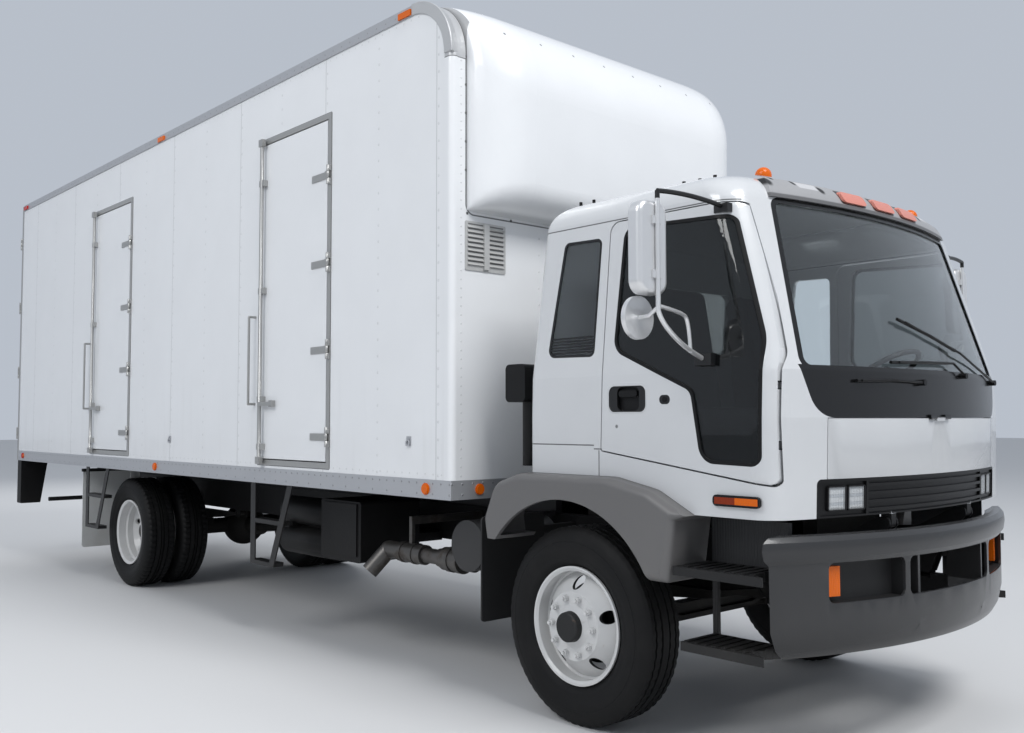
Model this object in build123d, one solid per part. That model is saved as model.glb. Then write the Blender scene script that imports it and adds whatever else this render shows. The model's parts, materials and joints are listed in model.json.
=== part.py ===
from build123d import *
from functools import lru_cache
import math
import os

# A medium-duty box truck: tilting cab over the engine, ladder frame, and a box body with
# two side doors and two rear doors. Millimetres.
# Working frame: +X forward, +Y to the truck's left, +Z up, x = 0 at the front axle and
# z = 0 on the ground. What is written out is moved so that the origin is in the middle.

# Wheels and axles
wheelbase = 5820
tyre_r = 500
tyre_w = 279
tread_w = 216
bead_r = 284
rim_r = 298
rim_w = 235
rim_wall = 10
hub_z = tyre_r
front_tyre_y = 1033
rear_tyre_y = 1043
dual_pitch = 320
disc_face_r = 172
disc_wall = 12
hand_hole_r = 33
hand_hole_ring = 214
hand_holes = 5
stud_ring = 143
studs = 10
kingpin_y = 820
kingpin_r = 20
spindle_r = 40
rear_spindle_r = 60
run_gap = 0.05
spring_eye_r = 24
steer_arm_x = -200
steer_arm_y = kingpin_y
steer_arm_z = 405

# Ladder frame
rail_half = 425
rail_w = 80
rail_h = 250
rail_wall = 8
rail_top = 960
rail_front = 1130
rail_rear = -8640
hitch_hole_r = 8.5
hitch_y = 80
hitch_z = 50
tow_hole_r = 14
tow_x = 1290

# Box body
body_half = 1295
body_front = -820
body_rear = -8850
body_top = 4040
wall = 40
sill_bottom = 1090
sill_top = 1200
floor_top = 1215
roof_bend = 380
edge_w = 62
post_r = 36
rail_proud = 4
nose_half = 1185
nose_flat = 850
nose_bottom = 2745
nose_depth = 270
nose_lip = 10
nose_round = 210

# Side doors: the front edge of each frame, and what both share
side_door_fronts = (-2100, -5515)
side_door_w = 985
side_door_bottom = 1222
side_door_top = 3600
door_frame_w = 38
door_gap = 8
door_wall = 42
hinge_out = 17
hinge_r = 11
hinge_pin_r = 5
side_hinge_heights = (3180, 2590, 2010, 1430)

# Cab
cab_half = 1150
cab_front = 1365
cab_rear = -345
cab_bottom = 1110
cab_floor = 1266
cab_wall = 42
front_round = 3600
corner_r = 140
seam = 6
lid_gap = 6
panel_t = 18
grille_t = 32
tilt_x = 1300
tilt_z = 1065
tilt_pin_r = 14
belt_z = 1760
header_z = 2560
windscreen_low = (987, 1753)
windscreen_high = (868, 2572)
cowl_bottom = 1550
lid_half = 846
grille_half = 907
grille_top = 1280
door_edge_x = 1174
door_inner_y = 1000
door_axis_x = 1160
door_axis_y = 1095
door_pin_r = 6
door_hinge_heights = (1430, 1690)
handle_cup = (300, 440, 1585, 1700)
front_seam = 12
lid_axis_x = 1372
lid_axis_z = 1548
lid_pin_r = 4

# Bumper
bumper_nose = 1460
bumper_round = 2600
bumper_half = 1212
bumper_wall = 14
bumper_bottom = 520
bumper_top = 1045

# Wheel arch flares and steps
arch_r = 640
flare_out = 1250
flare_in = 960
flare_wall = 20
flare_round = 38

tail_x = body_rear - 50
row_shift = -(bumper_nose + tail_x) / 2

sides = {"right": -1, "left": 1}
parts = {}


def block(x0, x1, y0, y1, z0, z1):
    """A box between two corners."""
    size = Box(abs(x1 - x0), abs(y1 - y0), abs(z1 - z0))
    return Pos((x0 + x1) / 2, (y0 + y1) / 2, (z0 + z1) / 2) * size


def outline(corners):
    """A closed face from (u, v, radius) corners."""
    points = [(u, v) for u, v, r in corners]
    return make_face(FilletPolyline(*points, radius=[r for u, v, r in corners], close=True))


def side_prism(corners, y0, y1):
    """A side-view outline of (x, z, radius) corners, from y0 to y1."""
    low, high = min(y0, y1), max(y0, y1)
    return extrude(Plane.XZ.offset(-high) * outline(corners), high - low)


def front_prism(corners, x0, x1):
    """A front-view outline of (y, z, radius) corners, from x0 to x1."""
    return extrude(Plane.YZ.offset(x0) * outline(corners), x1 - x0)


def plan_prism(corners, z0, z1):
    """A plan outline of (x, y, radius) corners, from z0 to z1."""
    return extrude(Plane.XY.offset(z0) * outline(corners), z1 - z0)


def rod(start, end, r):
    """A round bar between two points."""
    run = Vector(*end) - Vector(*start)
    return extrude(Plane(origin=start, z_dir=run) * Circle(r), run.length)


def bent_rod(points, r):
    """A round bar through several points, with a ball at each corner."""
    bar = rod(points[0], points[1], r)
    for start, end in zip(points[1:], points[2:]):
        bar += Pos(*start) * Sphere(r)
        bar += rod(start, end, r)
    return bar


def rounded(u0, u1, v0, v1, r):
    """Corners of a rectangle with one corner radius."""
    return [(u0, v0, r), (u1, v0, r), (u1, v1, r), (u0, v1, r)]


def mirrored(shape):
    """The same shape on the truck's other side."""
    return mirror(shape, about=Plane.XZ)


def on_side(side, shape):
    """A shape drawn on the left, put on its side."""
    return shape if sides[side] > 0 else mirrored(shape)


def both(shape):
    """A left shape and its twin on the right."""
    return [shape, mirrored(shape)]


def add(name, *shapes):
    """Keep the solids of one node."""
    flat = []
    for shape in shapes:
        flat.extend(shape if isinstance(shape, list) else [shape])
    parts.setdefault(name, []).extend(s for shape in flat for s in shape.solids())


# Wheels

def ring_about_y(profile, y0=0):
    """Revolve a (y, radius) profile about a wheel's own axle."""
    face = Plane.YZ * make_face(Polyline(*profile, close=True))
    return Pos(0, y0, 0) * revolve(face, Axis.Y)


def tyre(y0):
    half, tread = tyre_w / 2, tread_w / 2
    bead = rim_w / 2 - 16
    right = [(bead, bead_r), (bead, rim_r + 2), (half - 14, bead_r + 45), (half, bead_r + 105),
             (half - 6, bead_r + 165), (tread + 8, tyre_r - 16), (tread - 8, tyre_r)]
    return ring_about_y(right + [(-y, r) for y, r in reversed(right)], y0)


def rim(y0, face_y, facing):
    """A disc wheel: a flanged barrel at y0 and a dished disc out to face_y."""
    half, seat = rim_w / 2, bead_r
    barrel = ring_about_y([(-half, rim_r), (-half + 12, rim_r), (-half + 14, seat), (-40, seat),
                           (-30, seat - 18), (30, seat - 18), (40, seat), (half - 14, seat),
                           (half - 12, rim_r), (half, rim_r), (half, rim_r - rim_wall),
                           (half - 10, seat - rim_wall), (40, seat - rim_wall),
                           (30, seat - 18 - rim_wall), (-30, seat - 18 - rim_wall),
                           (-40, seat - rim_wall), (-half + 10, seat - rim_wall),
                           (-half, rim_r - rim_wall)], y0)
    foot = y0 + facing * 35
    inside = -facing * disc_wall
    hole_top = seat - 22
    bore = spindle_r + 60
    disc = ring_about_y([(foot, hole_top), (foot + inside * 1.6, hole_top),
                         (face_y + inside, disc_face_r - 8), (face_y + inside, bore),
                         (face_y, bore), (face_y, disc_face_r)])
    for i in range(hand_holes):
        angle = 2 * math.pi * (i + 0.25) / hand_holes
        at = (hand_hole_ring * math.cos(angle), hand_hole_ring * math.sin(angle))
        reach = (min(foot, face_y) - 40, max(foot, face_y) + 40)
        disc -= rod((at[0], reach[0], at[1]), (at[0], reach[1], at[1]), hand_hole_r)
    return barrel + disc


def front_wheel():
    """Tyre and rim of the left front wheel, with its hub bored for the spindle."""
    face_y = front_tyre_y + 128
    hub = ring_about_y([(900, 62), (900, 205), (1000, 205), (1015, 110), (face_y, 110),
                        (face_y + 4, 100), (face_y + 12, 78), (face_y + 46, 74),
                        (face_y + 52, 66), (face_y + 52, 0), (1120, 0),
                        (1120, spindle_r + run_gap), (912, spindle_r + run_gap),
                        (912, 62)])
    wheel = rim(front_tyre_y, face_y, 1) + hub
    for i in range(studs):
        angle = 2 * math.pi * i / studs
        x, z = stud_ring * math.cos(angle), stud_ring * math.sin(angle)
        nut = Plane(origin=(x, face_y, z), z_dir=(0, 1, 0)) * RegularPolygon(17, 6)
        wheel += extrude(nut, 24)
        wheel += rod((x, face_y + 20, z), (x, face_y + 36, z), 9)
    return tyre(front_tyre_y), wheel


def rear_wheels():
    """Twin tyres and rims of the left rear, on one hub."""
    joint_y = rear_tyre_y - dual_pitch / 2
    inner_y = rear_tyre_y - dual_pitch
    outer = rim(rear_tyre_y, joint_y + disc_wall, -1)
    inner = rim(inner_y, joint_y - disc_wall, 1)
    hub = ring_about_y([(joint_y - 180, rear_spindle_r + run_gap), (joint_y - 180, 200),
                        (joint_y - 60, 200), (joint_y - disc_wall * 2, 112),
                        (joint_y + 60, 110), (joint_y + 150, 96), (joint_y + 158, 60),
                        (joint_y + 158, 0), (joint_y + 100, 0),
                        (joint_y + 100, rear_spindle_r + run_gap)])
    return [tyre(rear_tyre_y), tyre(inner_y)], outer + inner + hub


def make_wheels():
    tyre_solid, wheel = front_wheel()
    twin_tyres, twin_rims = rear_wheels()
    for side in sides:
        at = Pos(0, 0, hub_z)
        add(f"front_tyre_{side}", on_side(side, at * tyre_solid))
        add(f"front_rim_{side}", on_side(side, at * wheel))
        at = Pos(-wheelbase, 0, hub_z)
        add(f"rear_tyres_{side}", [on_side(side, at * t) for t in twin_tyres])
        add(f"rear_rims_{side}", on_side(side, at * twin_rims))


# Axles and steering

def knuckle():
    """Left steering knuckle: yoke, kingpin, spindle, brake plate and steering arm."""
    y = kingpin_y
    web = block(-60, 60, y + 47, y + 73, 400, 600)
    ears = block(-45, 45, y - 40, y + 60, 565, 600) + block(-45, 45, y - 40, y + 60, 400, 435)
    pin = rod((0, y, 400), (0, y, 600), kingpin_r)
    plate = rod((0, y + 66, hub_z), (0, y + 75, hub_z), 190)
    spindle = rod((0, y + 70, hub_z), (0, 1110, hub_z), spindle_r)
    arm = plan_prism([(-30, y + 60, 0), (-30, y + 20, 20), (steer_arm_x - 25, steer_arm_y - 25, 20),
                      (steer_arm_x - 25, steer_arm_y + 25, 20), (-60, y + 72, 0)],
                     steer_arm_z, steer_arm_z + 25)
    arm -= rod((steer_arm_x, steer_arm_y, 300), (steer_arm_x, steer_arm_y, 500), 12 + run_gap)
    return web + ears + pin + plate + spindle + arm


def tie_rod():
    """Cross rod between the two steering arms, with its two pins."""
    z = steer_arm_z - 40
    bar = rod((steer_arm_x, -steer_arm_y, z), (steer_arm_x, steer_arm_y, z), 17)
    for y in (-steer_arm_y, steer_arm_y):
        bar += rod((steer_arm_x, y, z - 22), (steer_arm_x, y, steer_arm_z - 6), 25)
        bar += rod((steer_arm_x, y, z), (steer_arm_x, y, steer_arm_z + 27), 12)
    return bar


def front_axle():
    """Forged beam with a dropped middle and a boss for each kingpin."""
    y = kingpin_y
    beam = front_prism([(-y, 462, 0), (-600, 455, 60), (-480, 470, 60), (-360, 430, 60),
                        (360, 430, 60), (480, 470, 60), (600, 455, 60), (y, 462, 0),
                        (y, 538, 0), (600, 545, 60), (480, 560, 40), (360, 520, 60),
                        (-360, 520, 60), (-480, 560, 40), (-600, 545, 60), (-y, 538, 0)],
                       -42, 42)
    web_cut = front_prism([(-700, 480, 10), (-480, 492, 10), (-340, 452, 10), (340, 452, 10),
                           (480, 492, 10), (700, 480, 10), (700, 520, 10), (480, 538, 10),
                           (340, 498, 10), (-340, 498, 10), (-480, 538, 10), (-700, 520, 10)],
                          10, 60)
    beam -= web_cut
    beam -= mirror(web_cut, about=Plane.YZ)
    for s in (-1, 1):
        beam += rod((0, s * y, 440), (0, s * y, 560), 42)
        beam -= rod((0, s * y, 430), (0, s * y, 570), kingpin_r + run_gap)
    return beam


def spring_pack(half, end_z, middle_z, thick, y0, y1):
    """A bowed leaf pack in side view, straight through the middle clamp."""
    low = [(-half, end_z, 0), (-half * 0.45, middle_z + 26, 500), (0, middle_z, 700),
           (half * 0.45, middle_z + 26, 500), (half, end_z, 0)]
    high = [(half, end_z + 16, 0), (half * 0.5, middle_z + thick * 0.75 + 22, 500),
            (0, middle_z + thick, 700), (-half * 0.5, middle_z + thick * 0.75 + 22, 500),
            (-half, end_z + 16, 0)]
    pack = side_prism(low + high, y0, y1)
    for x in (-half, half):
        pack += rod((x, y0, end_z + 10), (x, y1, end_z + 10), spring_eye_r)
    return pack


def make_axles():
    add("front_axle", front_axle())
    for side in sides:
        add(f"knuckle_{side}", on_side(side, knuckle()))
    add("tie_rod", tie_rod())
    spring_y = (rail_half - rail_w + 5, rail_half - 5)
    add("leaf_springs", both(spring_pack(640, 668, 560.3, 66, *spring_y)))
    rear_pack = Pos(-wheelbase, 0, 0) * spring_pack(720, 668, 586.3, 84, *spring_y)
    add("leaf_springs", both(rear_pack))
    joint_y = rear_tyre_y - dual_pitch / 2
    tube = rod((-wheelbase, -joint_y + 190, hub_z), (-wheelbase, joint_y - 190, hub_z), 74)
    ends = rod((-wheelbase, -joint_y - 90, hub_z), (-wheelbase, joint_y + 90, hub_z),
               rear_spindle_r)
    bowl = Pos(-wheelbase + 20, 0, hub_z) * Sphere(205)
    pinion = rod((-wheelbase, 0, hub_z), (-wheelbase + 380, 0, hub_z + 8), 90)
    pads = [block(-wheelbase - 70, -wheelbase + 70, s * spring_y[0], s * spring_y[1],
                  hub_z, 586) for s in (-1, 1)]
    add("rear_axle", tube + ends + bowl + pinion + pads[0] + pads[1])


# Ladder frame and what hangs on it

def channel(x0, x1):
    """A left rail: a channel open towards the middle."""
    rail = block(x0, x1, rail_half - rail_w, rail_half, rail_top - rail_h, rail_top)
    return rail - block(x0 - 1, x1 + 1, rail_half - rail_w - 1, rail_half - rail_wall,
                        rail_top - rail_h + rail_wall, rail_top - rail_wall)


def hinge_plates():
    """Left pair of front plates that carry the cab's tilt pin."""
    shape = [(rail_front - 260, rail_top - rail_h + 30, 10), (rail_front, rail_top - rail_h + 30, 10),
             (rail_front + 60, rail_top - 60, 60), (tilt_x + 28, tilt_z - 12, 20),
             (tilt_x + 22, tilt_z + 27, 20), (tilt_x - 30, tilt_z + 27, 20),
             (rail_front - 60, rail_top + 20, 60), (rail_front - 260, rail_top, 10)]
    outer = side_prism(shape, rail_half + 0.0, rail_half + 14)
    inner = side_prism(shape, rail_half - 70, rail_half - 56)
    pin = rod((tilt_x, rail_half - 56, tilt_z), (tilt_x, rail_half, tilt_z), tilt_pin_r)
    return outer, inner, pin


def make_frame():
    rail = channel(rail_rear, rail_front)
    plates = hinge_plates()
    # Rear cab support: a post on each rail and a beam that stops just under the cab floor
    x0, x1 = cab_rear + 15, cab_rear + 85
    post = block(x0, x1, rail_half - rail_w, rail_half, rail_top, 1194)
    beam = block(x0, x1, -560, 560, 1194, cab_floor - 2)
    # Bumper arm, with a hole for a tow pin
    arm = block(rail_front, bumper_nose - 100, rail_half - 70, rail_half - 10, 640, 735)
    arm += block(rail_front - 60, rail_front, rail_half - 70, rail_half - 10, 640,
                 rail_top - rail_h)
    arm -= rod((tow_x, rail_half - 40, 600), (tow_x, rail_half - 40, 800), tow_hole_r)
    add("frame_rails", both(rail - plates[0] - plates[1]), both(plates[0]), both(plates[1]),
        both(plates[2]), both(post), beam, both(arm))
    # Rear crossmember with the holes for a hitch plate
    inner = rail_half - rail_wall
    x0 = rail_rear + 15
    rear_z = rail_top - rail_h / 2
    member = block(x0, x0 + 60, -inner, inner, rail_top - rail_h + rail_wall,
                   rail_top - rail_wall)
    for y in (-hitch_y, hitch_y):
        for z in (rear_z - hitch_z, rear_z + hitch_z):
            member -= rod((x0 - 15, y, z), (x0 + 75, y, z), hitch_hole_r)
    add("frame_rails", member)
    for x in (-7700, -wheelbase - 760, -wheelbase + 760, -4200, -3300, -1500, 1000):
        member = block(x - 35, x + 35, -inner, inner, rail_top - 110, rail_top - rail_wall)
        add("frame_rails", member - plates[1] - mirrored(plates[1]))
    # Spring hangers under the rails
    y0, y1 = rail_half - rail_w, rail_half
    for centre, half in ((0, 640), (-wheelbase, 720)):
        for x in (centre - half, centre + half):
            hanger = side_prism([(x - 55, rail_top - rail_h, 0), (x - 30, 640, 12),
                                 (x + 30, 640, 12), (x + 55, rail_top - rail_h, 0)], y0, y1)
            hanger -= rod((x, 300, 678), (x, 500, 678), spring_eye_r + run_gap)
            slot = block(x - 70, x + 70, y0 + 4.7, y1 - 4.7, 620, rail_top - rail_h - 8)
            add("frame_rails", both(hanger - slot))


def make_powertrain():
    block_x = (-720, 620)
    engine = side_prism([(block_x[0], 620, 40), (block_x[1] - 80, 600, 40), (block_x[1], 760, 60),
                         (block_x[1], 1150, 60), (block_x[0], 1180, 60)], -290, 290)
    gearbox = rod((block_x[0] - 620, 0, 790), (block_x[0] + 10, 0, 790), 190)
    shaft = rod((-wheelbase + 385, 0, hub_z + 8), (block_x[0] - 610, 0, 790), 52)
    radiator = block(800, 880, -315, 315, 600, 1080)
    link = block(block_x[1] - 40, 810, -120, 120, 700, 900)
    add("powertrain", engine + gearbox + shaft + link + radiator)


def make_exhaust():
    y = -1000
    muffler = rod((-900, -1110, 815), (-900, -520, 815), 148)
    pipe = rod((-960, y, 700), (-1290, y, 700), 56)
    for x0, x1, r in ((-1060, -1100, 76), (-1150, -1190, 76), (-1080, -1240, 70),
                      (-1240, -1440, 46), (-1440, -1700, 62), (-1520, -1545, 67),
                      (-1640, -1665, 67)):
        pipe += rod((x0, y, 700), (x1, y, 700), r)
    bend = bent_rod([(-1690, y, 700), (-1840, y, 700), (-1900, y - 110, 560)], 56)
    hanger = block(-1600, -1570, y - 12, y + 12, 740, 930)
    hanger += block(-1600, -1570, y, -rail_half, 880, 930)
    strap = block(-930, -870, -960, -rail_half, 950, 975)
    add("exhaust", muffler + pipe + bend + hanger + strap)


def make_tanks():
    tank = side_prism(rounded(-3000, -1650, 470, 950, 90), 520, 1130)
    for x in (-2800, -1850):
        band = side_prism(rounded(x - 30, x + 30, 462, 958, 20), 512, 1138)
        tank += band + block(x - 30, x + 30, rail_half, 515, 800, 900)
    tank += rod((-1850, 1060, 940), (-1850, 1120, 1010), 45)
    add("fuel_tank", tank)
    box = side_prism(rounded(-2480, -1990, 600, 1000, 20), -1120, -640)
    box += block(-2440, -2030, -1130, -1115, 640, 985)
    box += block(-2460, -2010, -642, -rail_half, 700, 760)
    for z, x0, x1 in ((640, -3300, -2530), (860, -3300, -2530)):
        tank_body = rod((x0, -880, z), (x1, -880, z), 105)
        box += tank_body
    for x in (-3180, -2650):
        box += block(x - 25, x + 25, -990, -rail_half, 740, 760)
    box += block(-2640, -2470, -800, -740, 740, 800)
    add("battery_box", box)


def make_rear_guard():
    """Tapered dock posts and the under-ride tube across the tail."""
    post = front_prism([(1000, sill_bottom, 0), (1290, sill_bottom, 0), (1290, 600, 12),
                        (1075, 600, 12)], body_rear + 20, body_rear + 150)
    guard = post + mirrored(post)
    x = body_rear + 110
    guard += rod((x, -970, 630), (x, 970, 630), 24)
    for s in (-1, 1):
        guard += side_prism([(x - 24, 612, 0), (x + 24, 612, 0), (x + 260, rail_top - 20, 0),
                             (x + 90, rail_top - 20, 0)], s * (rail_half), s * (rail_half + 14))
    add("rear_bumper", guard)


def make_flaps():
    """Rear mud flaps on their hanger rods, and the boards behind the front wheels."""
    x = -7000
    for s in (-1, 1):
        flap = front_prism([(s * 600, 1040, 0), (s * 1185, 1040, 0), (s * 1185, 250, 30),
                            (s * 600, 250, 30)], x, x + 10)
        flap += block(x - 12, x + 22, s * 590, s * 1195, 1020, 1050)
        flap += block(x - 12, x + 22, s * rail_half, s * 700, 905, 935)
        flap += block(x - 12, x + 22, s * 660, s * 700, 905, 1050)
        add("mud_flaps", flap)
        board = front_prism([(s * 700, 1000, 20), (s * 1180, 1000, 20), (s * 1180, 420, 20),
                             (s * 700, 420, 20)], -700, -688)
        board += block(-740, -699, s * rail_half, s * 900, 880, 920)
        add("mud_flaps", board)


def ladder(x0):
    """A hanging two-rung step under a side door, on the right."""
    y0, y1 = -1290, -1205
    legs = side_prism([(x0, sill_bottom, 0), (x0 + 70, sill_bottom, 0), (x0 + 70, 500, 0),
                       (x0, 500, 0)], y0, y0 + 10)
    legs += side_prism([(x0 + 530, sill_bottom, 0), (x0 + 600, sill_bottom, 0),
                        (x0 + 340, 500, 0), (x0 + 270, 500, 0)], y0, y0 + 10)
    lower = block(x0, x0 + 340, y0, y1, 500, 530)
    upper = block(x0, x0 + 460, y0, y1, 800, 830)
    return legs + lower + upper


def make_side_steps():
    for front in side_door_fronts:
        add("steps", ladder(front - side_door_w - 100))


def make_cab_steps():
    treads = block(690, 1165, 960, 1220, 840, 880) + block(730, 1165, 960, 1220, 510, 550)
    for z in (880, 550):
        for i in range(8):
            x = 740 + i * 50
            treads += block(x, x + 24, 985, 1205, z - 1, z + 5)
    plates = block(1125, 1165, 965, 985, 510, 880) + block(735, 765, 965, 985, 510, 1000)
    riser = block(735, 1165, 965, 985, 870, 1090)
    arms = block(1040, 1100, rail_half + 14, 985, 800, 850) + block(1040, 1100, 700, 985, 515, 545)
    drop = block(1040, 1100, 700, 740, 515, 850)
    step = treads + plates + riser + arms + drop
    step -= bumper_ring([(-115, 400), (-115, 1100), (100, 1100), (100, 400)])
    add("steps", both(step))


# Front bumper

def bumper_ring(profile):
    """Revolve an (offset from the nose, z) profile about the bumper's own centre line."""
    centre = bumper_nose - bumper_round
    sweep_deg = 2 * math.degrees(math.asin(bumper_half / bumper_round))
    points = [(bumper_round + u, v) for u, v in profile]
    face = Plane.XZ * make_face(Polyline(*points, close=True))
    turned = revolve(Rot(0, 0, -sweep_deg / 2) * face, Axis.Z, sweep_deg)
    return Pos(centre, 0, 0) * turned


def make_bumper():
    outer = [(-100, bumper_top - 25), (-60, bumper_top), (-22, bumper_top - 4),
             (-4, bumper_top - 26), (0, bumper_top - 60), (-6, bumper_top - 100),
             (-22, bumper_top - 122), (-24, 640), (-40, 560), (-62, bumper_bottom),
             (-100, bumper_bottom)]
    t = bumper_wall
    inner = [(-140, bumper_top - 25 - t), (-100, bumper_top - 25 - t), (-60, bumper_top - t),
             (-28, bumper_top - 5 - t), (-18, bumper_top - 32), (-14, bumper_top - 60),
             (-20, bumper_top - 96), (-36, bumper_top - 118), (-38, 640), (-53, 563),
             (-70, bumper_bottom + t), (-140, bumper_bottom + t)]
    bumper = bumper_ring(outer) - bumper_ring(inner)
    bumper -= front_prism(rounded(-408, 408, 748, 922, 30), 1200, 1600)
    for s in (-1, 1):
        bumper -= front_prism(rounded(s * 442, s * 890, 748, 922, 30) if s > 0 else
                              rounded(s * 890, s * 442, 748, 922, 30), 1150, 1600)
        bumper -= block(900, 1160, s * 1050, s * 1300, 400, 1100)
    for s in (-1, 1):
        pocket = bumper_ring([(-100, 734), (-100, 936), (-28, 936), (-28, 734)])
        pocket &= block(1100, 1500, s * 428, s * 904, 700, 950)
        hollow = bumper_ring([(-90, 748), (-90, 922), (50, 922), (50, 748)])
        bumper += pocket - (hollow & block(1100, 1500, s * 442, s * 890, 700, 950))
    ahead = bumper_ring([(-30, 400), (-30, 1200), (200, 1200), (200, 400)])
    for s in (-1, 1):
        rib = block(1240, bumper_nose, s * 332 - 8, s * 332 + 8, 600, 990)
        rib += block(bumper_nose - 100, bumper_nose, s * (rail_half - 70), s * (rail_half - 10),
                     640, 735)
        bumper += rib - ahead
    add("front_bumper", bumper)


# Box body

def body_profile(inset):
    """Side outline of the box, rounded at the top front."""
    r = max(roof_bend - inset, 20)
    return [(body_rear, sill_bottom + inset, 0), (body_front - inset, sill_bottom + inset, 0),
            (body_front - inset, body_top - inset, r), (body_rear, body_top - inset, 0)]


def make_floor():
    """Deck on cross sills on two long sills."""
    deck = block(body_rear + 60, body_front - wall, -body_half + wall, body_half - wall,
                 floor_top - 35, floor_top)
    x = body_rear + 100
    while x < body_front - wall - 60:
        deck += block(x, x + 50, -body_half + wall, body_half - wall, sill_bottom + 15,
                      floor_top - 34)
        x += 430
    for s in (-1, 1):
        deck += block(body_rear + 80, body_front - 60, s * (rail_half - 65), s * (rail_half - 15),
                      rail_top, sill_bottom + 16)
    add("box_floor", deck)


def side_door_bounds(front):
    return front - side_door_w, front, side_door_bottom, side_door_top


def make_walls():
    y0, y1 = body_half - wall, body_half
    shape = [(body_rear + 60, sill_top, 0), (body_front - edge_w, sill_top, 0),
             (body_front - edge_w, body_top - edge_w, roof_bend - edge_w),
             (body_rear + 60, body_top - edge_w, 0)]
    left = side_prism(shape, y0, y1)
    right = mirrored(left)
    for front in side_door_fronts:
        x0, x1, z0, z1 = side_door_bounds(front)
        right -= block(x0, x1, -y1 - 10, -y0 + 10, z0, z1)
    add("box_left_wall", left)
    add("box_right_wall", right)
    skin = side_prism(body_profile(0), -y0, y0) - side_prism(body_profile(wall), -y0, y0)
    split = body_top - roof_bend
    roof = skin & block(body_rear + 60, body_front + 10, -y0, y0, split, body_top + 10)
    front_wall = skin & block(body_front - wall - 1, body_front + 10, -y0, y0, sill_top, split)
    vent = front_prism(rounded(-1198, -889, 2404, 2690, 8), body_front - 1, body_front + 6)
    for i in range(9):
        z = 2436 + i * 27
        for y in (-1182, -1036):
            slot = side_prism([(body_front - 2, z, 0), (body_front + 16, z, 0),
                               (body_front + 5, z + 14, 0), (body_front - 2, z + 14, 0)],
                              y, y + 132)
            vent += slot
    add("box_front_wall", front_wall + vent)
    add("box_roof", roof)


def edge_strip(y0, y1, proud):
    """A strip along the box's side outline: up the front, round the bend and along the top."""
    w = edge_w
    inner = [(body_rear - 1, sill_bottom - 200, 0), (body_front - w, sill_bottom - 200, 0),
             (body_front - w, body_top - w, roof_bend - w), (body_rear - 1, body_top - w, 0)]
    strip = side_prism(body_profile(-proud), y0, y1) - side_prism(inner, y0 - 1, y1 + 1)
    return strip & block(body_rear + 60, body_front + 20, y0, y1, sill_top, body_top + 20)


def tie_ring(x, z):
    """A small lashing ring on its plate, on the left wall."""
    y = body_half
    eye = block(x - 22, x + 22, y, y + 4, z - 28, z + 28) + block(x - 9, x + 9, y, y + 15, z, z + 14)
    return eye + bent_rod([(x, y + 10, z + 5), (x - 15, y + 11, z - 4), (x - 15, y + 13, z - 24),
                           (x + 15, y + 13, z - 24), (x + 15, y + 11, z - 4), (x, y + 10, z + 5)], 4)


def make_body_rails():
    """Bottom rails all round, top rails along the roof, posts and bent caps at the front."""
    out = body_half + rail_proud
    low = block(body_rear + 60, body_front + rail_proud, body_half - wall, out, sill_bottom,
                sill_top)
    front = block(body_front - 36, body_front + rail_proud, 0, body_half, sill_bottom, sill_top)
    ledge = block(body_rear + 60, body_front + rail_proud, out - 1, out + 3, sill_bottom,
                  sill_bottom + 12)
    add("body_rails", low + front + ledge + mirrored(low + front + ledge))
    strip = edge_strip(body_half - wall, out, rail_proud)
    bend_x, bend_z = body_front - roof_bend, body_top - roof_bend
    along = block(body_rear, bend_x, 0, 2000, bend_z, body_top + 20)
    lip = block(body_rear + 60, bend_x, out, out + 5, body_top - edge_w, body_top - edge_w + 6)
    add("body_rails", both((strip & along) + lip))
    for x, z in ((-1220, 1418), (-4616, 1385)):
        add("body_rails", mirrored(tie_ring(x, z)))
    up = block(bend_x, body_front + 20, 0, 2000, sill_top, bend_z)
    post = strip & up
    corner = post.edges().filter_by(Axis.Z).sort_by(lambda e: -e.center().X - e.center().Y)[0]
    add("box_front_wall", both(fillet(corner, post_r)))
    cap = strip & block(bend_x, body_front + 20, 0, 2000, bend_z, body_top + 20)
    cap += edge_strip(out - 12, out + 6, rail_proud + 6) & block(bend_x, body_front + 30, 0, 2000,
                                                                 bend_z, body_top + 30)
    add("corner_caps", both(cap))


def nose_section(y, k):
    """Side profile of the nose at one place across, at a share k of its full depth."""
    front = body_front + nose_lip + (nose_depth - nose_lip) * k
    hidden_x = body_front - roof_bend - 10
    return Plane.XZ.offset(-y) * outline([
        (hidden_x, nose_bottom, 0), (hidden_x, body_top, 0),
        (front, body_top, roof_bend + nose_round * k),
        (front - 35 * k, nose_bottom + 20, 40 + 125 * k), (body_front - 30, nose_bottom, 0)])


def make_nose():
    """The fibreglass nose: full depth in the middle, rounded off to a lip at each side."""
    middle = extrude(nose_section(-nose_flat, 1), -2 * nose_flat)
    angles = [math.radians(15 * i) for i in range(7)]
    side = loft([nose_section(nose_flat + (nose_half - nose_flat) * math.sin(a), math.cos(a))
                 for a in angles])
    nose = middle + side + mirrored(side)
    nose -= side_prism(body_profile(0), -body_half, body_half)
    edge_x = body_front - roof_bend
    add("box_nose", nose - block(edge_x - 50, edge_x + 62, -body_half, body_half, 3500, 4200))


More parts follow.
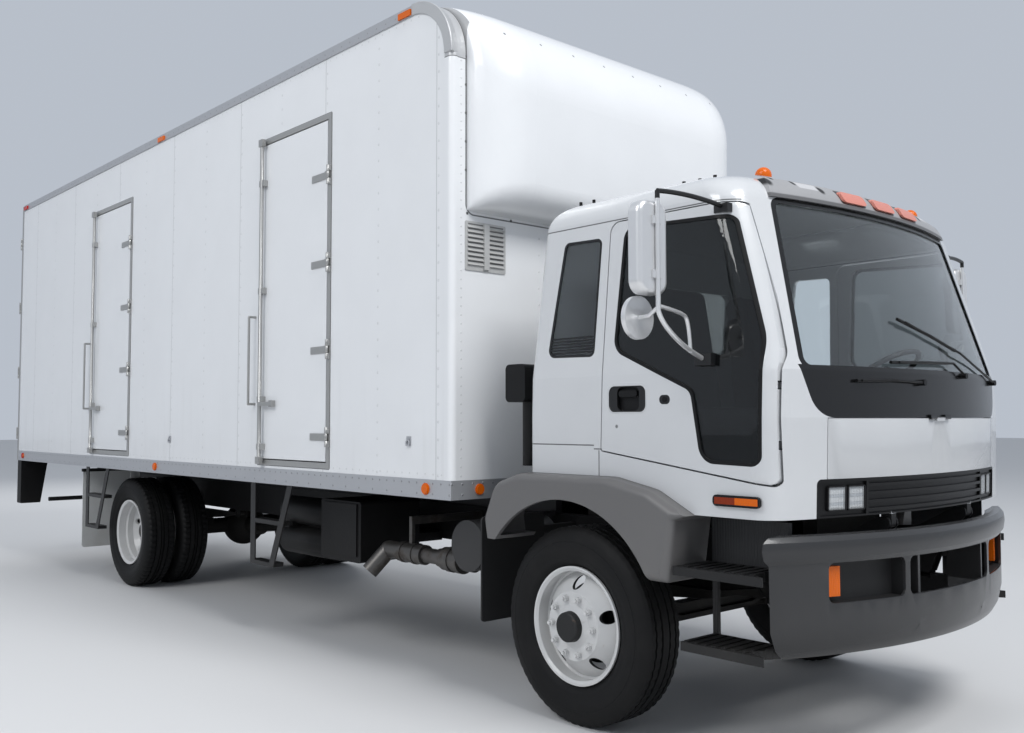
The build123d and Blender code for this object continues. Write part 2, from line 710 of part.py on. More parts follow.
def side_leaf(front):
    """One side door with its strap hinges, lock rod, keepers and handle."""
    x0, x1, z0, z1 = side_door_bounds(front)
    gap = door_frame_w + door_gap
    out = -body_half - 3
    leaf = block(x0 + gap, x1 - gap, out, out + door_wall, z0 + gap, z1 - gap)
    axis_y = -body_half - hinge_out
    hinge_x = x1 - door_frame_w / 2
    for z in side_hinge_heights:
        leaf += block(x1 - gap - 190, x1 - gap + 1, out - 7, out + 1, z - 24, z + 24)
        leaf += block(x1 - gap - 1, hinge_x, axis_y - 6, -body_half - 9, z - 24, z + 24)
        leaf += rod((hinge_x, axis_y, z - 24), (hinge_x, axis_y, z + 24), hinge_r)
    leaf -= rod((hinge_x, axis_y, z0), (hinge_x, axis_y, z1), hinge_pin_r + run_gap)
    lock_x = x0 + gap + 42
    leaf += rod((lock_x, out - 30, z0 + 20), (lock_x, out - 30, z1 - 20), 13)
    for z in (z1 - 330, (z0 + z1) / 2 + 70, z0 + 470, z0 + 130):
        leaf += block(lock_x - 34, lock_x + 34, out - 36, out + 1, z - 22, z + 22)
    for z in (z0 + 32, z1 - 32):
        leaf += block(lock_x - 30, lock_x + 26, out - 46, out - 15, z - 26, z + 26)
    handle_z = 1660
    leaf += block(lock_x, lock_x + 190, out - 44, out - 28, handle_z - 14, handle_z + 14)
    leaf += block(lock_x + 130, lock_x + 175, out - 30, out + 1, handle_z - 24, handle_z + 24)
    return leaf


def make_side_doors():
    for name, front in zip(("front", "rear"), side_door_fronts):
        x0, x1, z0, z1 = side_door_bounds(front)
        w = door_frame_w
        frame = block(x0, x1, -body_half - 5, -body_half + wall, z0, z1)
        frame -= block(x0 + w, x1 - w, -body_half - 10, -body_half + wall + 5, z0 + w, z1 - w)
        hinge_x = x1 - w / 2
        axis_y = -body_half - hinge_out
        for z in side_hinge_heights:
            frame += rod((hinge_x, axis_y, z - 60), (hinge_x, axis_y, z + 60), hinge_pin_r)
            for z_low in (z - 65, z + 25):
                frame += rod((hinge_x, axis_y, z_low), (hinge_x, axis_y, z_low + 40), hinge_r)
                frame += block(hinge_x - 4, x1, axis_y, -body_half - 4, z_low, z_low + 40)
        grab_x = x0 - 45
        grab = bent_rod([(grab_x, -body_half, 1660), (grab_x, -body_half - 55, 1660),
                         (grab_x, -body_half - 55, 2300), (grab_x, -body_half, 2300)], 9)
        add("side_door_frames", frame, grab)
        add(f"side_door_{name}", side_leaf(front))


def make_rear():
    """Rear portal and its two doors."""
    x = body_rear
    portal = block(x, x + 60, -body_half, body_half, sill_bottom, body_top)
    opening = (body_half - 75, floor_top - 5, body_top - 120)
    portal -= block(x - 5, x + 65, -opening[0], opening[0], opening[1], opening[2])
    axis_x, axis_y = x - 20, body_half - 2
    heights = (1400, 2100, 2850, 3600)
    for s in (-1, 1):
        for z in heights:
            portal += rod((axis_x, s * axis_y, z - 60), (axis_x, s * axis_y, z + 60), hinge_pin_r)
            for low in (z + 27, z - 67):
                portal += rod((axis_x, s * axis_y, low), (axis_x, s * axis_y, low + 40), hinge_r)
                portal += block(axis_x, x + 1, s * (axis_y - 9), s * (axis_y + 2), low, low + 40)
    add("rear_frame", portal)
    for side, s in sides.items():
        gap = door_gap
        leaf = block(x - 5, x + 37, 3, opening[0] - gap, opening[1] + gap, opening[2] - gap)
        for z in heights:
            leaf += block(x - 12, x - 4, opening[0] - 230, axis_y - 16, z - 26, z + 26)
            leaf += block(axis_x - 2, x - 4, axis_y - 24, axis_y, z - 26, z + 26)
            leaf += rod((axis_x, axis_y, z - 26), (axis_x, axis_y, z + 26), hinge_r)
        leaf -= rod((axis_x, axis_y, heights[0] - 100), (axis_x, axis_y, heights[-1] + 100),
                    hinge_pin_r + run_gap)
        for y in (150,):
            leaf += rod((x - 34, y, opening[1] + 20), (x - 34, y, opening[2] - 20), 14)
            for z in (1320, 1750, 2500, 3250, 3800):
                leaf += block(x - 40, x - 4, y - 34, y + 34, z - 22, z + 22)
        leaf += block(x - 50, x - 36, 150, 420, 1736, 1764)
        leaf += block(x - 38, x - 4, 370, 410, 1720, 1780)
        add(f"rear_door_{side}", on_side(side, leaf))


def dome_lamp(at, normal, r, depth):
    """A round lens lamp standing out of a face."""
    start = Vector(*at)
    tip = start + Vector(*normal) * depth
    lamp = rod(tuple(start), tuple(start + Vector(*normal) * (depth * 0.5)), r)
    return lamp + rod(tuple(start), tuple(tip), r * 0.82)


def make_body_lamps():
    out = body_half + rail_proud
    mid_z = (sill_bottom + sill_top) / 2
    for s in (-1, 1):
        for x in (-1048, -4908):
            add("marker_lamps", dome_lamp((x, s * out, mid_z), (0, s, 0), 34, 14))
        add("marker_lamps", dome_lamp((-8614, s * out, mid_z), (0, s, 0), 32, 14))
        for x in (-1267, -4880, -8700):
            add("marker_lamps", block(x - 62, x + 62, s * out, s * (out + 14),
                                      body_top - 56, body_top - 18))
        add("marker_lamps", dome_lamp((body_front + rail_proud, s * 1091, mid_z), (1, 0, 0), 32, 14))
        lens = block(1150, 1400, s * 800, s * 875, 772, 902)
        band = bumper_ring([(-90, 700), (-90, 950), (-52, 950), (-52, 700)])
        add("marker_lamps", lens & band)
        add("marker_lamps", block(body_rear - 14, body_rear, s * 1080, s * 1180, 1110, 1180))


# Cab

# Plan sections of the cab, from its lower edge to the roof:
# height, how far the front, the sides and the rear stand in from the widest section, corner radius
cab_levels = [
    (cab_bottom, 15, 0, 0, corner_r),
    (cowl_bottom, 0, 0, 0, corner_r),
    (belt_z, 10, 0, 5, corner_r),
    (header_z, 260, 50, 75, corner_r + 10),
]
cab_roof_levels = [
    (header_z, 260, 50, 75, corner_r + 10),
    (2630, 300, 78, 105, corner_r + 30),
    (2690, 400, 170, 190, corner_r + 40),
    (2735, 640, 420, 420, corner_r + 40),
]


def cab_section(level, inset):
    """One plan section of the cab: straight sides and rear, rounded corners, a bowed front."""
    z, front_in, side_in, rear_in, r = level
    half = cab_half - side_in - inset
    front = cab_front - front_in - inset
    rear = cab_rear + rear_in + inset
    corner = max(r - inset * 0.5, 30)
    rear_r = 60
    big = front_round
    centre = front - big
    cx = centre + math.sqrt((big - corner) ** 2 - (half - corner) ** 2)
    cy = half - corner
    scale = big / (big - corner)
    tx, ty = centre + (cx - centre) * scale, cy * scale
    mid = math.atan2(cy, cx - centre) / 2 + math.pi / 4
    mx, my = cx + corner * math.cos(mid), cy + corner * math.sin(mid)
    k = rear_r * (1 - math.sqrt(0.5))
    lines = Polyline((rear, -half + rear_r), (rear, half - rear_r)).edges()
    lines += ThreePointArc((rear, half - rear_r), (rear + k, half - k), (rear + rear_r, half)).edges()
    lines += Line((rear + rear_r, half), (cx, half)).edges()
    lines += ThreePointArc((cx, half), (mx, my), (tx, ty)).edges()
    lines += ThreePointArc((tx, ty), (front, 0), (tx, -ty)).edges()
    lines += ThreePointArc((tx, -ty), (mx, -my), (cx, -half)).edges()
    lines += Line((cx, -half), (rear + rear_r, -half)).edges()
    lines += ThreePointArc((rear + rear_r, -half), (rear + k, -half + k),
                           (rear, -half + rear_r)).edges()
    return Plane.XY.offset(z) * make_face(Wire(lines))


def roof_solid(inset):
    """The domed roof over the header line, drawn in by an even inset."""
    levels = [(z - (0 if z == header_z else inset), *rest) for z, *rest in cab_roof_levels]
    return loft([cab_section(level, inset) for level in levels])


@lru_cache(maxsize=None)
def cab_solid(inset):
    """The cab's full form, drawn in by an even inset."""
    return loft([cab_section(level, inset) for level in cab_levels], ruled=True) + roof_solid(inset)


def door_outline(grow, ahead=0):
    """Side outline of a cab door, grown by a seam all round and by more at its front edge."""
    g, front = grow, door_edge_x + ahead
    return [(192 - g, 1391 - g, 15), (228 - g, 2528 + g, 60), (984 + g, 2528 + g, 60),
            (front, 1820, 250), (front, 1258 - g - ahead / 3, 30)]


def door_hinge(z):
    """Left gooseneck hinge: its arm reaches round inside the door's front edge to the pin."""
    x, y = door_axis_x, door_axis_y
    arm = plan_prism([(x - 8, y, 0), (x, y, 0), (x - 6, y - 54, 0), (1200, y - 54, 0),
                      (1200, y - 70, 0), (x - 20, y - 70, 6)], z - 14, z + 14)
    arm += rod((x, y, z - 14), (x, y, z + 14), 9)
    return arm + rod((x, y, z - 50), (x, y, z + 50), door_pin_r)


def hinge_pocket(z):
    """What the left door leaves free round one hinge."""
    x, y = door_axis_x, door_axis_y
    pocket = block(x - 27, 1250, door_inner_y - 50, y + 1, z - 19, z + 19)
    pocket += rod((x, y, z - 19), (x, y, z + 19), 11)
    return pocket + rod((x, y, z - 56), (x, y, z + 56), door_pin_r + run_gap)


def door_trim(side):
    """Left-hand lower trim panel of a door with its armrest, on the door's inner face."""
    y = cab_half - cab_wall
    front, low = (700, 1370) if side == "right" else (1040, 1325)
    trim = side_prism([(240, 1432, 20), (front, low, 20), (front, 1640, 20), (240, 1745, 20)],
                      y - 14, y)
    return trim + side_prism(rounded(330, 640, 1555, 1600, 20), y - 70, y - 10)


def door_handle():
    """Left handle cup with its pull bar, and the key lock ahead of it."""
    y = cab_half
    cup = side_prism(rounded(*handle_cup, 28), y - 26, y - 22)
    bar = side_prism(rounded(312, 428, 1652, 1684, 14), y - 12, y + 3)
    for x in (322, 408):
        bar += block(x, x + 12, y - 23, y - 8, 1656, 1680)
    return cup + bar, rod((596, y - 6, 1636), (596, y + 2, 1636), 14)


def door_window(side):
    """The door glass: on the right it drops to the sill in front, as a kerb window."""
    top = [(318, 2500, 70), (957, 2470, 60), (1128, 1890, 300)]
    if side == "right":
        return top + [(1118, 1336, 50), (800, 1345, 90), (745, 1672, 60), (270, 1882, 90)]
    return top + [(1114, 1668, 50), (745, 1672, 300), (270, 1882, 90)]


def grow_outline(corners, by):
    """An outline moved out by an even offset, as a face."""
    return offset(outline(corners), amount=by)


def side_prism_face(face, y0, y1):
    low, high = min(y0, y1), max(y0, y1)
    return extrude(Plane.XZ.offset(-high) * face, high - low)


def front_prism_face(face, x0, x1):
    return extrude(Plane.YZ.offset(x0) * face, x1 - x0)


def window_ring(corners, width):
    """A window outline less itself drawn in by a width."""
    return outline(corners) - offset(outline(corners), amount=-width)


def quarter_outline():
    return [(-96, 2470, 35), (170, 2462, 35), (142, 1858, 35), (-196, 1866, 45)]


def windscreen_outline():
    (low_y, low_z), (high_y, high_z) = windscreen_low, windscreen_high
    return [(-low_y, low_z, 60), (low_y, low_z, 60), (high_y, high_z, 60), (-high_y, high_z, 60)]


def cowl_outline():
    low_y, low_z = windscreen_low
    return [(-lid_half - 60, cowl_bottom, 140), (lid_half + 60, cowl_bottom, 140),
            (low_y + 6, low_z + 30, 0), (-low_y - 6, low_z + 30, 0)]


def flare_outline():
    return [(-585, 900, 0), (-605, 1010, 60), (-520, 1200, 120), (-330, 1262, 200),
            (300, 1262, 220), (560, 1212, 160), (765, 1108, 0), (712, 1085, 12),
            (668, 800, 12), (450, 800, 0), (450, 900, 0)]


def arch_disc(r, y0, y1):
    return rod((0, y0, hub_z), (0, y1, hub_z), r)


def make_cab():
    full, under_panel, under_lid = cab_solid(0), cab_solid(panel_t), cab_solid(panel_t + lid_gap)
    glass_out, glass_in = cab_solid(8), cab_solid(16)
    shell = full - (cab_solid(cab_wall) & block(-2000, 2000, -2000, 2000, cab_bottom - 10, 4000))
    front_zone = (900, 1500)
    # Floor with a raised rear part over the engine and a low footwell in front
    inside_y = cab_half - cab_wall
    raised = block(cab_rear - 10, 700, -inside_y, inside_y, cab_bottom - 20, cab_floor)
    inner = cab_solid(cab_wall - 5)
    floor = side_prism([(cab_rear, cab_bottom, 0), (cab_front, cab_bottom, 0),
                        (cab_front, cab_bottom + 40, 0), (740, cab_bottom + 40, 0),
                        (740, cab_floor + 38, 30), (cab_rear, cab_floor + 38, 0)], -1300, 1300)
    floor = floor & inner
    shell = (shell + floor) - raised
    for s in (-1, 1):
        lug_y = sorted((s * (rail_half - 50), s * (rail_half - 6)))
        lug = side_prism([(tilt_x - 26, tilt_z - 24, 22), (tilt_x + 26, tilt_z - 24, 22),
                          (tilt_x + 26, cab_bottom + 20, 0), (tilt_x - 26, cab_bottom + 20, 0)],
                         *lug_y)
        shell += lug - rod((tilt_x, -900, tilt_z), (tilt_x, 900, tilt_z), tilt_pin_r + run_gap)
    # Doors, windows and the panels let into the front
    for side, s in sides.items():
        shell -= side_prism(door_outline(seam, front_seam), s * (door_inner_y - seam), s * 1300)
        shell -= side_prism(quarter_outline(), s * 880, s * 1300)
        shell -= side_prism_face(grow_outline(flare_outline(), 1.5), s * 880, s * 1300)
        shell -= arch_disc(arch_r, s * 880, s * 1300)
    for z in door_hinge_heights:
        shell += door_hinge(z) + mirrored(door_hinge(z))
    shell -= front_prism(windscreen_outline(), *front_zone)
    shell -= front_prism(rounded(-560, 560, 1960, 2340, 60), -600, 0)
    shell -= (full - under_panel) & front_prism(cowl_outline(), *front_zone)
    lid_zone = [(-lid_half - 4, grille_top - 4, 0), (lid_half + 4, grille_top - 4, 0),
                (lid_half + 4, cowl_bottom, 0), (-lid_half - 4, cowl_bottom, 0)]
    shell -= (full - under_lid) & front_prism(lid_zone, *front_zone)
    grille_zone = [(-grille_half, cab_bottom - 10, 0), (grille_half, cab_bottom - 10, 0),
                   (grille_half, grille_top, 25), (-grille_half, grille_top, 25)]
    shell -= (full - cab_solid(grille_t)) & front_prism(grille_zone, *front_zone)
    add("cab_shell", shell)
    cowl = (full - under_panel) & front_prism(cowl_outline(), *front_zone)
    cowl -= front_prism(windscreen_outline(), *front_zone)
    at_x, at_z = lid_axis_x, lid_axis_z
    pin = rod((at_x, -105, at_z), (at_x, 105, at_z), lid_pin_r)
    for s in (-1, 1):
        pin += rod((at_x, s * 45, at_z), (at_x, s * 105, at_z), 6.5)
        pin += block(cab_front - 12, at_x, s * 45, s * 105, cowl_bottom + 2, cowl_bottom + 14)
        pin += block(at_x - 4, at_x + 4, s * 45, s * 105, at_z, cowl_bottom + 14)
    add("cowl_panel", cowl + pin)
    lid = [(-lid_half, grille_top, 6), (lid_half, grille_top, 6), (lid_half, cowl_bottom - 4, 6),
           (-lid_half, cowl_bottom - 4, 6)]
    leaf = (full - under_panel) & front_prism(lid, *front_zone)
    leaf += rod((at_x, -42, at_z), (at_x, 42, at_z), 6.5)
    leaf += block(cab_front - 12, at_x + 4, -42, 42, at_z - 14, at_z - 5)
    add("front_lid", leaf - rod((at_x, -60, at_z), (at_x, 60, at_z), lid_pin_r + run_gap))
    make_grille(full, cab_solid(12), cab_solid(grille_t), front_zone)
    panes = glass_out - glass_in
    add("cab_glass", panes & front_prism(windscreen_outline(), *front_zone))
    add("cab_glass", panes & front_prism(rounded(-560, 560, 1960, 2340, 60), -600, 0))
    band = full - glass_out
    add("cowl_panel", band & front_prism_face(window_ring(windscreen_outline(), 28), *front_zone))
    mirror_solid = mirror_arms() - full
    cup, lock = door_handle()
    for side, s in sides.items():
        add("cab_glass", panes & side_prism(quarter_outline(), s * 880, s * 1300))
        vent = side_prism_face(window_ring(quarter_outline(), 14), s * 880, s * 1300)
        for z in range(1884, 1960, 15):
            vent += block(-190, 160, s * 880, s * 1300, z, z + 8) & side_prism(
                quarter_outline(), s * 880, s * 1300)
        add("cowl_panel", band & vent)
        hole = side_prism(door_window(side), s * door_inner_y, s * 1300)
        leaf = (full - cab_solid(cab_wall)) & side_prism(door_outline(0), s * door_inner_y, s * 1300)
        cuts = side_prism(rounded(*handle_cup, 28), cab_half - 26, 1300) + lock
        for z in door_hinge_heights:
            cuts += hinge_pocket(z)
        add(f"cab_door_{side}", leaf - hole - on_side(side, cuts))
        add(f"door_glass_{side}", panes & hole)
        add(f"door_trim_{side}", on_side(side, door_trim(side)), on_side(side, cup),
            on_side(side, lock))
        seal = side_prism_face(window_ring(door_window(side), 16), s * door_inner_y, s * 1300)
        add(f"door_trim_{side}", band & seal)
        add(f"mirror_{side}", on_side(side, mirror_solid))
    make_roof_trim(full)


def make_grille(full, near, deep, zone):
    """Black panel with four bars and two square lamps each side."""
    area = [(-grille_half, cab_bottom - 10, 0), (grille_half, cab_bottom - 10, 0),
            (grille_half, grille_top, 25), (-grille_half, grille_top, 25)]
    panel = (near - deep) & front_prism(area, *zone)
    lamp_boxes = []
    for s in (-1, 1):
        for y in (784, 662):
            lamp_boxes.append(rounded(s * y - 52, s * y + 52, 1143, 1243, 8))
    ring = full - deep
    border = front_prism(area, *zone) - front_prism(rounded(-grille_half + 14, grille_half - 14,
                                                           cab_bottom + 8, grille_top - 14, 15), *zone)
    panel += ring & border
    for z in (1135, 1172, 1209, 1246):
        panel += ring & front_prism(rounded(-592, 592, z - 7, z + 7, 3), *zone)
    lamps = []
    for corners in lamp_boxes:
        bezel = front_prism_face(grow_outline(corners, 6), *zone) - front_prism(corners, *zone)
        panel += ring & bezel
        panel -= (full - near) & front_prism(corners, *zone)
        lamps.append((cab_solid(3) - near) & front_prism(corners, *zone))
    for s in (-1, 1):
        divider = front_prism(rounded(s * 592 - 8, s * 592 + 8, cab_bottom, grille_top - 10, 2), *zone)
        panel += ring & divider
    add("grille", panel)
    add("headlamps", lamps)


def mirror_arms():
    """Left mirror: tall head, round mirror under it, and its bent arms to the door."""
    head = front_prism(rounded(1405, 1595, 2080, 2490, 60), 765, 835)
    head = fillet(head.faces().sort_by(Axis.X)[-1].edges(), 24)
    head = fillet(head.faces().sort_by(Axis.X)[0].edges(), 8)
    x, y = 845, 1490
    bar = rod((x, y, 2005), (x, y, 2530), 11)
    bar += block(828, x, y - 30, y + 30, 2150, 2185) + block(828, x, y - 30, y + 30, 2385, 2420)
    bar += bent_rod([(x, y, 2530), (870, 1300, 2545), (900, 1095, 2508)], 11)
    bar += bent_rod([(x, y, 2010), (x, 1470, 1960), (838, 1290, 1850), (832, 1150, 1812)], 11)
    bar += bent_rod([(x, y, 2030), (842, 1330, 2015), (838, 1270, 1980), (838, 1262, 1838)], 9)
    bar += block(790, 880, 1130, 1172, 1786, 1840) + block(862, 938, 1075, 1112, 2480, 2520)
    dish = rod((724, 1500, 1986), (748, 1500, 1986), 95) + rod((716, 1500, 1986), (726, 1500, 1986), 84)
    hook = bent_rod([(745, 1500, 1986), (800, 1498, 1990), (x, y, 2025)], 9)
    return head + bar + dish + hook


def make_roof_trim(full):
    """Grey band over the windscreen, and the amber lamps on and in it."""
    (low_y, low_z), (high_y, high_z) = windscreen_low, windscreen_high
    band = [(-high_y - 6, high_z, 0), (high_y + 6, high_z, 0), (high_y - 20, high_z + 112, 60),
            (-high_y + 20, high_z + 112, 60)]
    outer, lens = roof_solid(-14), roof_solid(-24)
    garnish = (outer - full) & front_prism(band, 700, 1300)
    add("roof_garnish", max(garnish.solids(), key=lambda s: s.volume))
    for y in (-160, 0, 160):
        cell = front_prism(rounded(y - 55, y + 55, high_z + 30, high_z + 88, 15), 700, 1300)
        piece = (lens - outer) & cell
        add("cab_lamps", max(piece.solids(), key=lambda s: s.volume))
    for s in (-1, 1):
        x, y = 880, s * 740
        base = rod((x, y, 2640), (x, y, 2712), 40)
        dome = Pos(x, y, 2712) * Sphere(40) & block(x - 60, x + 60, y - 60, y + 60, 2712, 2760)
        add("cab_lamps", (base + dome) - full - outer)
        add("cab_lamps", side_prism(rounded(875, 1120, 1160, 1210, 20), s * cab_half,
                                    s * (cab_half + 16)))


def make_flares():
    body = side_prism(flare_outline(), flare_in, flare_out)
    rim_edges = body.faces().sort_by(Axis.Y)[-1].edges()
    body = fillet(rim_edges.filter_by(lambda e: e.center().Z > 1095 and e.center().X < 750),
                  flare_round)
    core = extrude(Plane.XZ.offset(24 - flare_out)
                   * offset(outline(flare_outline()), amount=-flare_wall),
                   flare_out - 24 - flare_in + 5)
    flare = body - core - arch_disc(arch_r, -1400, 1400)
    add("arch_flares", both(max(flare.solids(), key=lambda p: p.volume)))


def make_interior():
    dash = side_prism([(1010, 1480, 30), (1400, 1480, 0), (1400, 1736, 0), (1060, 1745, 60),
                       (990, 1640, 40)], -940, 940)
    dash += block(1100, 1400, -700, 700, cab_bottom + 40, 1500)
    dash = dash & cab_solid(cab_wall + 3)
    wheel_at = Plane(origin=(790, 560, 1800), z_dir=(-0.55, 0, 0.84))
    wheel = wheel_at * Torus(215, 15)
    hub = wheel_at * Cylinder(45, 40)
    spoke = wheel_at * Box(30, 420, 14)
    column = rod((795, 560, 1790), (1040, 560, 1640), 30)
    add("dashboard", dash + column + hub + spoke + wheel)
    for y0, y1 in ((330, 800), (-820, -60)):
        seat = side_prism([(60, cab_floor + 38, 0), (520, cab_floor + 38, 0), (570, 1500, 50),
                           (550, 1610, 50), (140, 1580, 60), (20, 2290, 60), (-130, 2290, 60),
                           (-60, 1540, 80)], y0, y1)
        add("seats", seat)


def front_x(y, z):
    """The cab's front surface at a place across and a height, above the lid."""
    if z < belt_z:
        lean = 10 * (z - cowl_bottom) / (belt_z - cowl_bottom)
    else:
        lean = 10 + 250 * (z - belt_z) / (header_z - belt_z)
    return cab_front - lean - front_round + math.sqrt(front_round ** 2 - y ** 2)


def make_wipers():
    """Three arms from the cowl, each with a blade lying just off the glass."""
    for line in ([(890, 1742), (350, 1880), (-180, 2010)], [(310, 1762), (200, 1822), (-350, 1808)],
                 [(-170, 1716), (-400, 1722), (-650, 1716)]):
        y, z = line[0]
        wiper = rod((front_x(y, z) - 30, y, z), (front_x(y, z) + 30, y, z), 15)
        wiper += bent_rod([(front_x(y, z) + 22, y, z) for y, z in line], 6)
        (y0, z0), (y1, z1) = line[1:]
        along = [(y0 + (y1 - y0) * k, z0 + (z1 - z0) * k) for k in (0.1, 0.55, 1.1)]
        wiper += bent_rod([(front_x(y, z) + 14, y, z) for y, z in along], 8)
        add("wipers", wiper - cab_solid(0))


def make_duct():
    """Air intake on the cab's rear wall, behind its right corner."""
    duct = side_prism(rounded(-580, -420, 1640, 1850, 30), -1100, -940)
    duct += rod((-470, -1010, 1290), (-470, -1010, 1650), 45)
    for z in (1350, 1500):
        duct += block(-470, cab_rear, -1030, -990, z, z + 40)
    add("air_intake", duct)


def build():
    make_wheels()
    make_axles()
    make_frame()
    make_powertrain()
    make_exhaust()
    make_tanks()
    make_rear_guard()
    make_flaps()
    make_side_steps()
    make_cab_steps()
    make_bumper()
    make_floor()
    make_walls()
    make_body_rails()
    make_nose()
    make_side_doors()
    make_rear()
    make_body_lamps()
    make_cab()
    make_flares()
    make_interior()
    make_wipers()
    make_duct()


build()
os.makedirs("parts", exist_ok=True)
for name, solids in parts.items():
    moved = [Pos(row_shift, 0, 0) * solid for solid in solids]
    export_step(Compound(moved), f"parts/{name}.step")
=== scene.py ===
import json
import math

import bpy
from mathutils import Matrix, Vector


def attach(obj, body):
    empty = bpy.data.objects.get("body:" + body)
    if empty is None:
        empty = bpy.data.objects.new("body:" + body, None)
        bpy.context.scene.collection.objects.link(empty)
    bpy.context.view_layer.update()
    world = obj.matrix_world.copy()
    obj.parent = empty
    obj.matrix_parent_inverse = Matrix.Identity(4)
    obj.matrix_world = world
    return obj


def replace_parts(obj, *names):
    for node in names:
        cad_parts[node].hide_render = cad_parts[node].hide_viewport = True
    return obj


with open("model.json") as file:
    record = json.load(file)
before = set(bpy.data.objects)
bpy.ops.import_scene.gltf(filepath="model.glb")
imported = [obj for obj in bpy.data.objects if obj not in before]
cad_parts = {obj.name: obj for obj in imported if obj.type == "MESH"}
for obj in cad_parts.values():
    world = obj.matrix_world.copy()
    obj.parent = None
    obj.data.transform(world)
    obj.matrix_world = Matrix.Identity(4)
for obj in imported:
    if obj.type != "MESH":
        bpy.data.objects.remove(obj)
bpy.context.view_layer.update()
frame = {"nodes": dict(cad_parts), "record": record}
nodes = frame["nodes"]

# Row frame: metres, x = 0 midway along the truck; the front axle is FRONT_AXLE ahead of it.
FRONT_AXLE = 3.72
REAR_AXLE = FRONT_AXLE - 5.82
HUB_Z = 0.5

# Van body: its outer faces, the top of its bottom rail, the bend of its roof's front edge, the foot
# of its cast corner caps, and the nose's half width
BODY_SIDE = 1.295
BODY_FRONT = FRONT_AXLE - 0.82
BODY_REAR = FRONT_AXLE - 8.85
BODY_TOP = 4.04
SILL_TOP = 1.20
ROOF_BEND = 0.38
CAP_LOW = BODY_TOP - ROOF_BEND
NOSE_SIDE = 1.185

# Side doors: their front edges, width, height and middle
SIDE_DOOR_FRONTS = (FRONT_AXLE - 2.10, FRONT_AXLE - 5.515)
SIDE_DOOR_W, SIDE_DOOR_H = 0.985, 2.378
SIDE_DOOR_MIDDLE = 2.411

# Pitch of the body's posts, of the rivets on them and of the rivets along an edge
POST_PITCH, RIVET_PITCH, EDGE_PITCH = 0.61, 0.102, 0.076
RIVET_R, RIVET_RISE = 0.0075, 0.002

# Vent in the front wall: its plate across and up, the middle of its two rows of louvres, a louvre's
# lower edge, and how far the rows reach from the middle
VENT_Y, VENT_Z = (-1.20, -0.88), (2.40, 2.70)
VENT_MIDDLE = -1.043
LOUVRE_PITCH, LOUVRE_EDGE = 0.027, 2.4575
LOUVRES_FROM, LOUVRES_TO = 0.022, 0.135

# Flange that holds the nose to the front wall: its middle height, half height and corner radius
FLANGE_MIDDLE, FLANGE_HALF, FLANGE_R = 3.464, 0.736, 0.06

# Cab: upright up to its belt, then leaning in; its front falls back by y squared / CAB_CURVE
CAB_FRONT, CAB_REAR, CAB_SIDE = FRONT_AXLE + 1.355, FRONT_AXLE - 0.345, 1.15
CAB_FOOT, CAB_FLOOR, CAB_BELT, CAB_TOP = 1.108, 1.125, 1.76, 2.705
CAB_RISE = 0.80
FRONT_LEAN, REAR_LEAN, SIDE_LEAN = 0.25, 0.075, 0.05
CAB_CURVE = 7.2
CROWN_HALF, CROWN_FALL = 0.66, 0.40
DOOR_REAR = FRONT_AXLE + 0.142

# Handle cup and lock of a cab door: x from the front axle, z, half width and height, corner radius
HANDLE_CUP = (0.362, 1.6425, 0.1175, 0.0635, 0.035)
DOOR_LOCK = (0.596, 1.636, 0.032, 0.022, 0.0215)

# Pockets in each half of the grey band over the windscreen, painted black as shade: across, z and
# radius
BAND_POCKETS = [(0.845, 2.655, 0.0338), (0.79, 2.682, 0.0182), (0.495, 2.650, 0.0286),
                (0.665, 2.668, 0.0182)]

# Front bumper: the centre of its face in plan, the radius inside which it is recessed, and where
BUMPER_CENTRE_X, RECESS_R = FRONT_AXLE - 1.14, 2.566
RECESS_Z = (0.735, 0.935)

# Lamps of the cab: the roof lamps' pitch, half width and height, then their packed pitch and half
# width, the middle of a side marker, and the middle and pitch of each pair of headlamps
LENS_PITCH, LENS_HALF, LENS_Z = 0.28, 0.095, 2.632
PACKED_LENS_PITCH, PACKED_LENS_HALF = 0.16, 0.055
SIDE_MARKER_X, SIDE_MARKER_Z = FRONT_AXLE + 0.9975, 1.185
HEADLAMP_Y, HEADLAMP_Z, HEADLAMP_PITCH = 0.723, 1.193, 0.122

# Wheels: radii of the disc's flat middle and of its rim; then for each kind its axle, the inner
# face and radius of its bearing cap, the face of its disc, and the disc's slope outside the middle
DISC_FACE_R, DISC_R = 0.172, 0.292
FRONT_WHEEL = (FRONT_AXLE, 1.176, 0.0785, 1.161, 1.022)
REAR_WHEEL = (REAR_AXLE, 1.02, 0.062, 0.895, -1.242)

# Camera at the photograph's place: worked out from the truck's own known sizes
CAMERA_AT = (FRONT_AXLE + 3.597, -4.820, 1.542)
CAMERA_YAW = 2.4074
CAMERA_PITCH = 0.0533
CAMERA_ROLL = -0.0017
CAMERA_LENS = 35.17

WHITE = (0.76, 0.77, 0.78)
CAB_WHITE = (0.58, 0.59, 0.60)
# The lid's white: the cab's white darkened, a painted-shade copy of the same paint
SHADED_LID_WHITE = tuple(c * 0.88 for c in CAB_WHITE)
LINING = (0.46, 0.47, 0.48)
WHEEL_WHITE = (0.60, 0.60, 0.595)
FLAP_WHITE = (0.62, 0.63, 0.62)
GREY = (0.125, 0.122, 0.121)
DARK_GREY = (0.030, 0.0305, 0.032)
SILVER_GREY = (0.34, 0.34, 0.345)
BLACK = (0.006, 0.006, 0.0065)
SOFT_BLACK = (0.012, 0.012, 0.0125)
ALUMINIUM = (0.70, 0.71, 0.73)
RAIL_METAL = (0.45, 0.46, 0.48)
BARE_METAL = (0.40, 0.40, 0.39)
VENT_METAL = (0.50, 0.50, 0.49)
CAST = (0.50, 0.505, 0.51)
AMBER = (0.62, 0.115, 0.004)
RED = (0.42, 0.015, 0.012)
DARK_RED = (0.20, 0.026, 0.008)
PALE_AMBER = (0.56, 0.21, 0.165)
